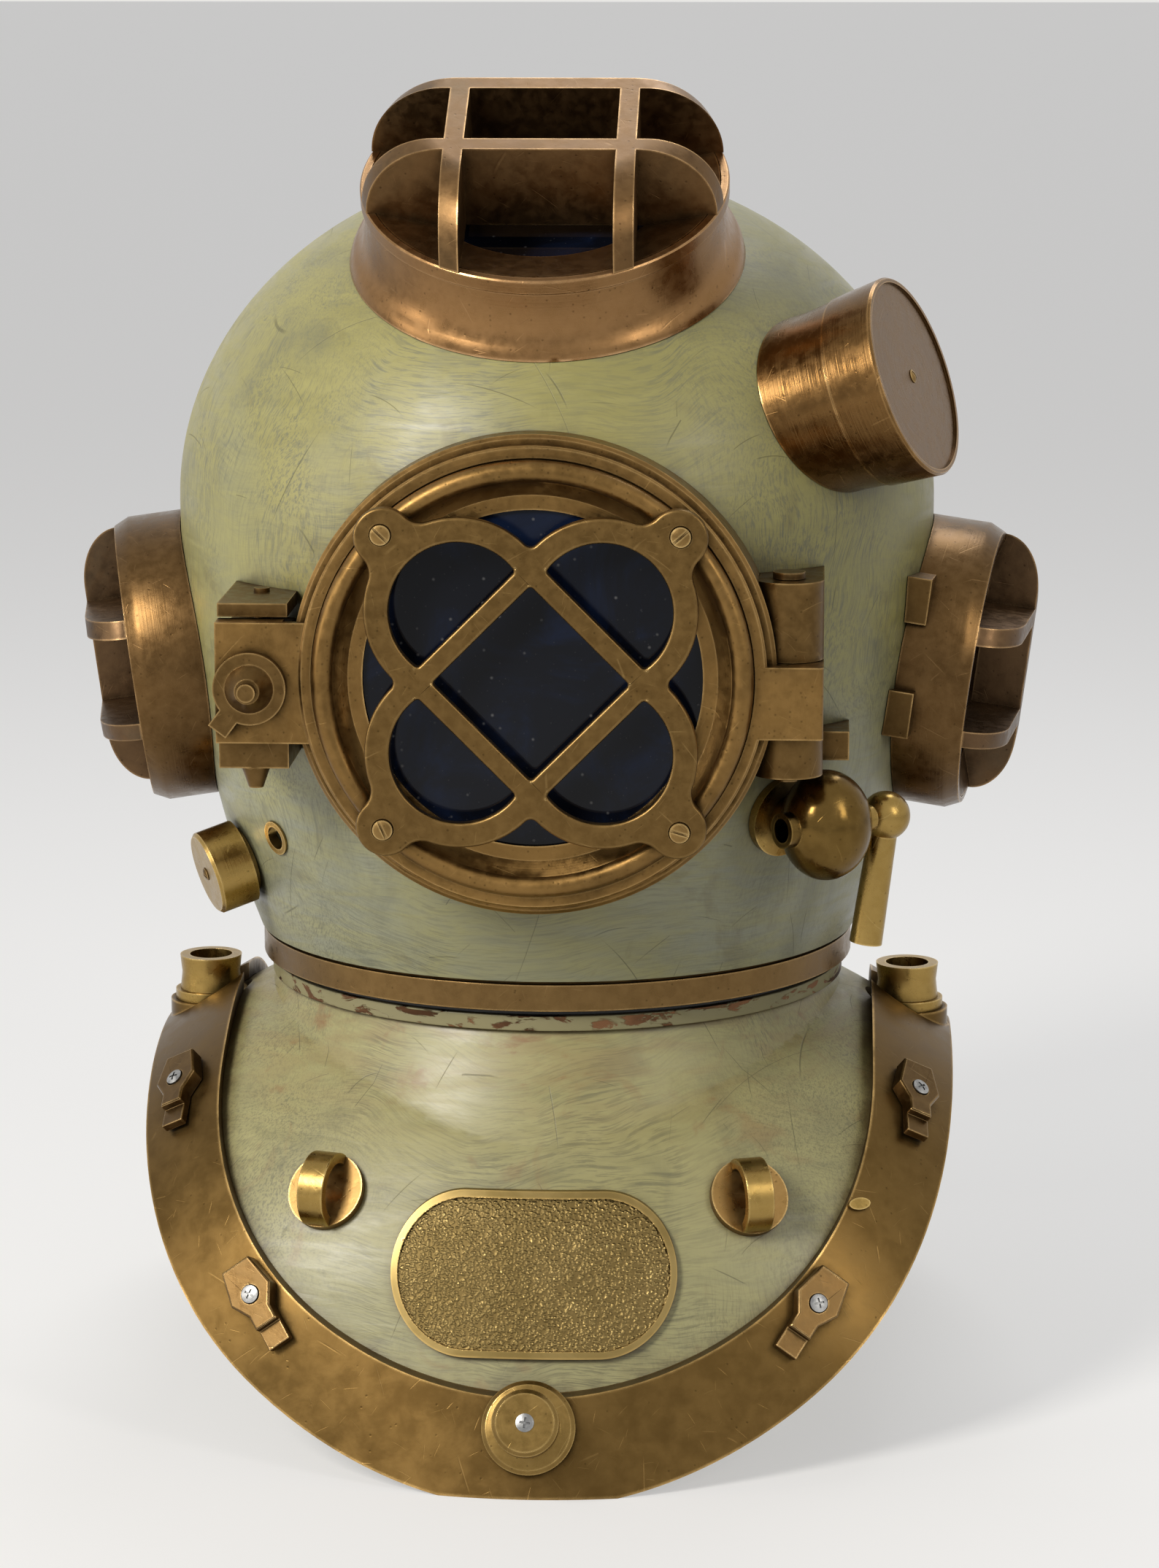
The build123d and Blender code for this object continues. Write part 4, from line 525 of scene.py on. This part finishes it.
LUG_BRONZE = aged_metal("lug_bronze", deep=(0.075, 0.042, 0.015), middle=(0.14, 0.082, 0.029),
                        worn=(0.8, 0.54, 0.24), rough=(0.28, 0.4), corner_shade=0.9, pit=0.05)
GOLD_TONES = dict(deep=(0.24, 0.15, 0.04), middle=(0.40, 0.265, 0.08), worn=(0.9, 0.66, 0.28))
GOLD = aged_metal("gold_brass", rough=(0.22, 0.34), mottle=0.5, **GOLD_TONES)
DISC_BRASS = aged_metal("disc_brass", deep=(0.15, 0.086, 0.028), middle=(0.28, 0.168, 0.056),
                        worn=(0.85, 0.6, 0.26), rough=(0.26, 0.38))
KNOB_GOLD = aged_metal("knob_gold", rough=(0.24, 0.34), turned=SIDE_KNOB, mottle=0.5, **GOLD_TONES)
RIM_KNOB_TONES = dict(deep=(0.12, 0.07, 0.02), middle=(0.26, 0.165, 0.05), worn=(0.85, 0.6, 0.24))
FRONT_GOLD = aged_metal("front_gold", rough=(0.26, 0.36), turned=FRONT_KNOB, **RIM_KNOB_TONES)
REAR_GOLD = aged_metal("rear_gold", rough=(0.26, 0.36), turned=REAR_KNOB, **RIM_KNOB_TONES)
BAND = chipped_band()
PLATE = stippled_plate()
GLASS = thick_glass()
RUBBER = plain_rubber()
STEEL = grey_steel()

# The turn buttons, which aren't listed here, have the finish of the lugs
FINISH = {
    "bonnet_shell": GREEN, "breastplate_shell": CREAM,
    "bonnet_neck_ring": NECK_BRONZE, "breastplate_neck_ring": BAND,
    "door_frame": DOOR_BRONZE, "door_ring": DOOR_BRONZE, "door_clamp_ring": DOOR_BRONZE,
    "hinge_lugs": DARK_BRONZE, "hinge_pin": LUG_BRONZE, "latch_lugs": DARK_BRONZE,
    "latch_pin": DARK_BRONZE, "latch_block": DARK_BRONZE, "wing_screw": DARK_BRONZE,
    "door_glass": GLASS, "top_window_glass": GLASS, "right_window_glass": GLASS, "left_window_glass": GLASS,
    "door_gasket": RUBBER, "door_seal": RUBBER, "neck_gasket": RUBBER,
    "door_grille": GRILLE_BRONZE, "grille_screws": DISC_BRASS,
    "top_window_collar": TOP_COPPER, "top_window_guard": CAGE_COPPER,
    "right_window_collar": RIGHT_BRASS, "left_window_collar": LEFT_BRASS,
    "right_window_guard": GUARD, "left_window_guard": GUARD, "right_window_blocks": DARK_BRONZE,
    "exhaust_body": EXHAUST_BRASS, "exhaust_cap": EXHAUST_BRASS, "exhaust_stem": EXHAUST_BRASS,
    "tap_flange": GOLD, "tap_body": TAP_BRONZE, "tap_lever": GOLD,
    "side_knob_base": KNOB_GOLD, "side_knob": KNOB_GOLD, "hole_bush": GOLD,
    "air_elbow": GOLD, "phone_elbow": GOLD,
    "front_rim": RIM_BRONZE, "rear_rim": RIM_BRONZE,
    "shoulder_washers": GOLD, "shoulder_nuts": GOLD, "button_screws": STEEL,
    "front_knob": FRONT_GOLD, "rear_knob": REAR_GOLD,
    "eyelet_bases": DISC_BRASS, "eyelet_loops": GOLD,
    "name_plate": PLATE, "rim_rivet": GOLD,
}


# Objects and modifiers

def add_object(name, data):
    added = bpy.data.objects.new(name, data)
    bpy.context.scene.collection.objects.link(added)
    return added


def final_mesh(piece):
    """A plain mesh of a piece as its modifiers leave it."""
    bpy.context.view_layer.update()
    return bpy.data.meshes.new_from_object(piece.evaluated_get(bpy.context.evaluated_depsgraph_get()))


def set_inputs(modifier, values):
    """Sets a geometry node modifier's named inputs, by their identifiers."""
    for item in modifier.node_group.interface.items_tree:
        if item.item_type == "SOCKET" and item.in_out == "INPUT" and item.name in values:
            modifier[item.identifier] = values[item.name]


# Shading and edges of the CAD nodes

JOIN_DISTANCE = 2e-6
SMOOTH_ANGLE = math.radians(32)
ROUNDED_ANGLE = math.radians(38)
EDGE_ROUNDING = 0.45 * MM
THIN_SHELLS = ("bonnet_shell", "breastplate_shell")


def make_shape_cleaner():
    """Joins a node's loose triangles and shades only gentle angles smooth."""
    tree, given, out = new_group("shape_cleaner", [
        (GEOMETRY, "Geometry", None), (FLOAT, "Sharp Angle", None),
    ], [(GEOMETRY, "Geometry")], "GeometryNodeTree")
    joined = put(tree, "GeometryNodeMergeByDistance", {
        "Geometry": given["Geometry"], "Distance": JOIN_DISTANCE})
    faces = put(tree, "GeometryNodeSetShadeSmooth", {0: joined.outputs[0], 2: True}, domain="FACE")
    angle = put(tree, "GeometryNodeInputMeshEdgeAngle").outputs["Unsigned Angle"]
    gentle = put(tree, "FunctionNodeCompare", {0: angle, 1: given["Sharp Angle"]},
                 data_type="FLOAT", operation="LESS_EQUAL").outputs[0]
    edges = put(tree, "GeometryNodeSetShadeSmooth", {0: faces.outputs[0], 2: gentle}, domain="EDGE")
    tree.links.new(edges.outputs[0], out[0])
    return tree


CLEANER = make_shape_cleaner()


def dress(name):
    """Gives a CAD node its finish, its smooth shading and, but for thin shells, soft edges."""
    node = nodes[name]
    node.data.materials.clear()
    node.data.materials.append(FINISH.get(name, LUG_BRONZE))
    cleaning = node.modifiers.new("clean", "NODES")
    cleaning.node_group = CLEANER
    set_inputs(cleaning, {"Sharp Angle": SMOOTH_ANGLE})
    if name not in THIN_SHELLS:
        rounding = node.modifiers.new("soft_edge", "BEVEL")
        rounding.width = EDGE_ROUNDING
        rounding.segments = 2
        rounding.limit_method = "ANGLE"
        rounding.angle_limit = ROUNDED_ANGLE
        rounding.harden_normals = True
        rounding.use_clamp_overlap = True


for node_name in sorted(nodes):
    dress(node_name)


# Screws: a few head shapes, set on points by a geometry node tree

HEAD_RINGS = 5
HEAD_SIDES = 28
FULL_TURN = 6.283
CLUSTER_REACH = 20.0 * MM
BOX_FACES = ((0, 1, 3, 2), (4, 6, 7, 5), (0, 4, 5, 1), (2, 3, 7, 6), (0, 2, 6, 4), (1, 5, 7, 3))


def domed_head(name, radius, height, dome):
    """A low domed head that stands on the XY plane."""
    levels = []
    for ring in range(1, HEAD_RINGS + 1):
        share = ring / HEAD_RINGS
        levels.append((radius * share, height + dome * (1 - share * share)))
    levels.append((radius, 0.0))
    verts = [(0.0, 0.0, height + dome)]
    for r, z in levels:
        for k in range(HEAD_SIDES):
            turn = 2 * math.pi * k / HEAD_SIDES
            verts.append((r * math.cos(turn), r * math.sin(turn), z))
    faces = [(0, 1 + k, 1 + (k + 1) % HEAD_SIDES) for k in range(HEAD_SIDES)]
    for ring in range(len(levels) - 1):
        low = 1 + ring * HEAD_SIDES
        high = low + HEAD_SIDES
        for k in range(HEAD_SIDES):
            beside = (k + 1) % HEAD_SIDES
            faces.append((low + k, high + k, high + beside, low + beside))
    last = 1 + (len(levels) - 1) * HEAD_SIDES
    faces.append(tuple(last + k for k in reversed(range(HEAD_SIDES))))
    mesh = bpy.data.meshes.new(name)
    mesh.from_pydata(verts, [], faces)
    return add_object(name, mesh)


def cut_slot(head, crown, length, width, depth, turn):
    """Cuts a slot across a head, as deep below its crown as stated and turned about its axis."""
    mesh = bpy.data.meshes.new(head.name + "_slot")
    mesh.from_pydata([(x * length / 2, y * width / 2, crown + z * depth)
                      for x in (-1, 1) for y in (-1, 1) for z in (-1, 1)], [], BOX_FACES)
    mesh.transform(Matrix.Rotation(turn, 4, "Z"))
    cutter = add_object(head.name + "_slot", mesh)
    cut = head.modifiers.new("slot", "BOOLEAN")
    cut.operation = "DIFFERENCE"
    cut.solver = "EXACT"
    cut.object = cutter
    slotted = final_mesh(head)
    head.modifiers.remove(cut)
    head.data = slotted
    bpy.data.objects.remove(cutter)


def slot_head(name, radius, height, dome, width, depth):
    """A head with one slot from side to side."""
    head = domed_head(name, radius, height, dome)
    cut_slot(head, height + dome, 2.4 * radius, width, depth, 0.0)
    return head


def cross_head(name, radius, height, dome, width, depth):
    """A head with two short crossed slots."""
    head = domed_head(name, radius, height, dome)
    for turn in (0.0, math.pi / 2):
        cut_slot(head, height + dome, 1.15 * radius, width, depth, turn)
    return head


def make_screw_setting():
    """Sets a screw on every point, its own Z along the point's direction, each turned at random."""
    tree, given, out = new_group("screw_setting", [
        (GEOMETRY, "Points", None), ("NodeSocketObject", "Screw", None),
        ("NodeSocketMaterial", "Finish", None), ("NodeSocketInt", "Twist Seed", None),
    ], [(GEOMETRY, "Geometry")], "GeometryNodeTree")
    shape = put(tree, "GeometryNodeObjectInfo", {"Object": given["Screw"]}).outputs["Geometry"]
    facing = put(tree, "GeometryNodeInputNamedAttribute", {"Name": "facing"}, data_type="FLOAT_VECTOR")
    twist = put(tree, "FunctionNodeRandomValue", {2: 0.0, 3: FULL_TURN, "Seed": given["Twist Seed"]},
                data_type="FLOAT").outputs[1]
    spin = put(tree, "ShaderNodeCombineXYZ", {"Z": twist}).outputs[0]
    upright = put(tree, "FunctionNodeAlignRotationToVector", {"Vector": facing.outputs[0]}, axis="Z")
    rotation = put(tree, "FunctionNodeRotateRotation", {
        "Rotation": upright.outputs[0], "Rotate By": spin}, rotation_space="LOCAL").outputs[0]
    placed = put(tree, "GeometryNodeInstanceOnPoints", {
        "Points": given["Points"], "Instance": shape, "Rotation": rotation})
    real = put(tree, "GeometryNodeRealizeInstances", {0: placed.outputs[0]})
    finished = put(tree, "GeometryNodeSetMaterial", {0: real.outputs[0], "Material": given["Finish"]})
    tree.links.new(finished.outputs[0], out[0])
    return tree


SETTING = make_screw_setting()


def set_screws(name, head, places, finish, body, seed):
    """One mesh of screws at (point, direction) places, riding on one body."""
    points = bpy.data.meshes.new(name + "_points")
    points.from_pydata([point for point, direction in places], [], [])
    facing = points.attributes.new("facing", "FLOAT_VECTOR", "POINT")
    for index, (point, direction) in enumerate(places):
        facing.data[index].vector = direction
    carrier = add_object(name + "_carrier", points)
    setting = carrier.modifiers.new("setting", "NODES")
    setting.node_group = SETTING
    set_inputs(setting, {"Screw": head, "Finish": finish, "Twist Seed": seed})
    mesh = final_mesh(carrier)
    bpy.data.objects.remove(carrier)
    mesh.name = name
    mesh.materials.clear()
    mesh.materials.append(finish)
    for face in mesh.polygons:
        face.use_smooth = False
    piece = add_object(name, mesh)
    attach(piece, body)


def end_of(name, axis, lift=0.0):
    """Where an axis leaves a node, lifted off its end or sunk into it, and the axis's direction."""
    start = Vector(axis[0])
    direction = Vector(axis[1]).normalized()
    reach = max((v.co - start).dot(direction) for v in nodes[name].data.vertices)
    return tuple(start + direction * (reach + lift)), tuple(direction)


def solid_clusters(name):
    """The vertices of a CAD node's separate small solids, grouped by how close they lie."""
    clusters = []
    for vertex in nodes[name].data.vertices:
        for cluster in clusters:
            if (cluster[0] - vertex.co).length < CLUSTER_REACH:
                cluster.append(vertex.co.copy())
                break
        else:
            clusters.append([vertex.co.copy()])
    return clusters


# Radius, height of the rim, rise of the dome, width and depth of the slot
CROSS_HEAD = cross_head("cross_head", 3.4 * MM, 0.25 * MM, 0.55 * MM, 0.75 * MM, 0.7 * MM)
SLOT_HEAD = slot_head("slot_head", 3.7 * MM, 0.3 * MM, 0.6 * MM, 0.8 * MM, 0.7 * MM)
TINY_HEAD = slot_head("tiny_head", 2.6 * MM, 0.3 * MM, 0.9 * MM, 0.55 * MM, 0.6 * MM)

button_places = []
for joint in frame["joints"]:
    if "button" in joint["child"]:
        button_places.append(end_of(joint["child"], (joint["pos_m"], joint["axis"]), 0.3 * MM))
set_screws("button_screw_heads", CROSS_HEAD, button_places, STEEL, "breastplate", 3)

grille_places = []
for cluster in solid_clusters("grille_screws"):
    middle = sum(cluster, Vector()) / len(cluster)
    front = min(point.y for point in cluster) - 0.1 * MM
    grille_places.append(((middle.x, front, middle.z), (0.0, -1.0, 0.0)))
set_screws("grille_screw_heads", SLOT_HEAD, grille_places, DISC_BRASS, "door", 11)

exhaust_place = end_of("exhaust_cap", EXHAUST, -1.0 * MM)
set_screws("exhaust_screw_head", TINY_HEAD, [exhaust_place], DISC_BRASS, "exhaust_cap", 5)
side_knob_place = end_of("side_knob", SIDE_KNOB)
set_screws("side_knob_screw_head", TINY_HEAD, [side_knob_place], DARK_BRONZE, "side_knob", 8)
for knob, axis in (("front_knob", FRONT_KNOB), ("rear_knob", REAR_KNOB)):
    set_screws(knob + "_screw_head", CROSS_HEAD, [end_of(knob, axis)], STEEL, knob, 13)

for head in (CROSS_HEAD, SLOT_HEAD, TINY_HEAD):
    bpy.data.objects.remove(head)


# Stage: floor, backdrop, lights and camera

FLOOR_HALF = 30.0
FLOOR_GLOW = 0.46
CAMERA_AROUND = math.radians(3.0)
CAMERA_UP = math.radians(11.0)
CAMERA_DISTANCE = 1.8
CAMERA_TARGET = (0.0089, 0.0, 0.231)
CAMERA_LENS = 102.2


def seen_directly(tree):
    """1 for rays that the camera sees, straight or by shine or through glass, and 0 for lighting."""
    path = put(tree, "ShaderNodeLightPath").outputs
    seen = maths(tree, "ADD", path["Is Camera Ray"], path["Is Glossy Ray"])
    return maths(tree, "ADD", seen, path["Is Transmission Ray"], clamp=True)


def plain_stage():
    """A wide pale floor with a glow that is seen but casts no light, so that it meets the backdrop."""
    mesh = bpy.data.meshes.new("floor")
    corners = ((-1, -1), (1, -1), (1, 1), (-1, 1))
    mesh.from_pydata([(x * FLOOR_HALF, y * FLOOR_HALF, 0) for x, y in corners], [], [(0, 1, 2, 3)])
    floor = add_object("floor", mesh)
    material = bpy.data.materials.new("floor")
    material.use_nodes = True
    tree = material.node_tree
    shader = tree.nodes["Principled BSDF"]
    shader.inputs["Base Color"].default_value = (0.5, 0.495, 0.485, 1)
    shader.inputs["Roughness"].default_value = 0.9
    shader.inputs["Specular IOR Level"].default_value = 0.1
    shader.inputs["Emission Color"].default_value = (1.0, 0.99, 0.975, 1)
    tree.links.new(times(tree, seen_directly(tree), FLOOR_GLOW), shader.inputs["Emission Strength"])
    mesh.materials.append(material)


def studio_world():
    """A dim world that lights the object, and a pale backdrop where it is seen."""
    world = bpy.data.worlds.new("studio")
    world.use_nodes = True
    tree = world.node_tree
    tree.nodes.clear()
    out = tree.nodes.new("ShaderNodeOutputWorld")
    dim = put(tree, "ShaderNodeBackground", {"Color": (0.9, 0.93, 1.0, 1), "Strength": 0.19})
    pale = put(tree, "ShaderNodeBackground", {"Color": (0.80, 0.79, 0.77, 1), "Strength": 1.0})
    mixed = put(tree, "ShaderNodeMixShader", {
        0: seen_directly(tree), 1: dim.outputs[0], 2: pale.outputs[0]})
    tree.links.new(mixed.outputs[0], out.inputs["Surface"])
    bpy.context.scene.world = world


def softbox(name, place, target, size, power, colour):
    """A rectangular lamp that faces a target; its size is in metres and its power in watts."""
    data = bpy.data.lights.new(name, "AREA")
    data.shape = "RECTANGLE"
    data.size, data.size_y = size
    data.energy = power
    data.color = colour
    lamp = add_object(name, data)
    lamp.location = place
    lamp.rotation_mode = "QUATERNION"
    lamp.rotation_quaternion = (Vector(target) - Vector(place)).to_track_quat("-Z", "Y")


def photo_camera():
    data = bpy.data.cameras.new("photo_camera")
    data.sensor_width = 36.0
    data.lens = CAMERA_LENS
    back = Vector((math.sin(CAMERA_AROUND) * math.cos(CAMERA_UP),
                   -math.cos(CAMERA_AROUND) * math.cos(CAMERA_UP), math.sin(CAMERA_UP)))
    camera = add_object("photo_camera", data)
    camera.location = Vector(CAMERA_TARGET) + back * CAMERA_DISTANCE
    camera.rotation_mode = "QUATERNION"
    camera.rotation_quaternion = (-back).to_track_quat("-Z", "Y")
    bpy.context.scene.camera = camera


plain_stage()
studio_world()
softbox("key_left", (-1.15, -1.35, 1.35), (0, 0, 0.3), (0.55, 0.75), 31, (1.0, 0.97, 0.92))
softbox("fill_right", (1.3, -1.2, 1.1), (0, 0, 0.28), (0.4, 0.8), 5.5, (1.0, 0.96, 0.9))
softbox("top_back", (0.2, 0.9, 1.7), (0, 0, 0.35), (1.0, 0.7), 10, (0.95, 0.97, 1.0))
softbox("low_left", (-1.7, -0.6, 0.5), (0, 0, 0.2), (0.6, 0.6), 4, (1.0, 0.95, 0.88))
photo_camera()

bpy.context.scene.view_settings.view_transform = "Standard"
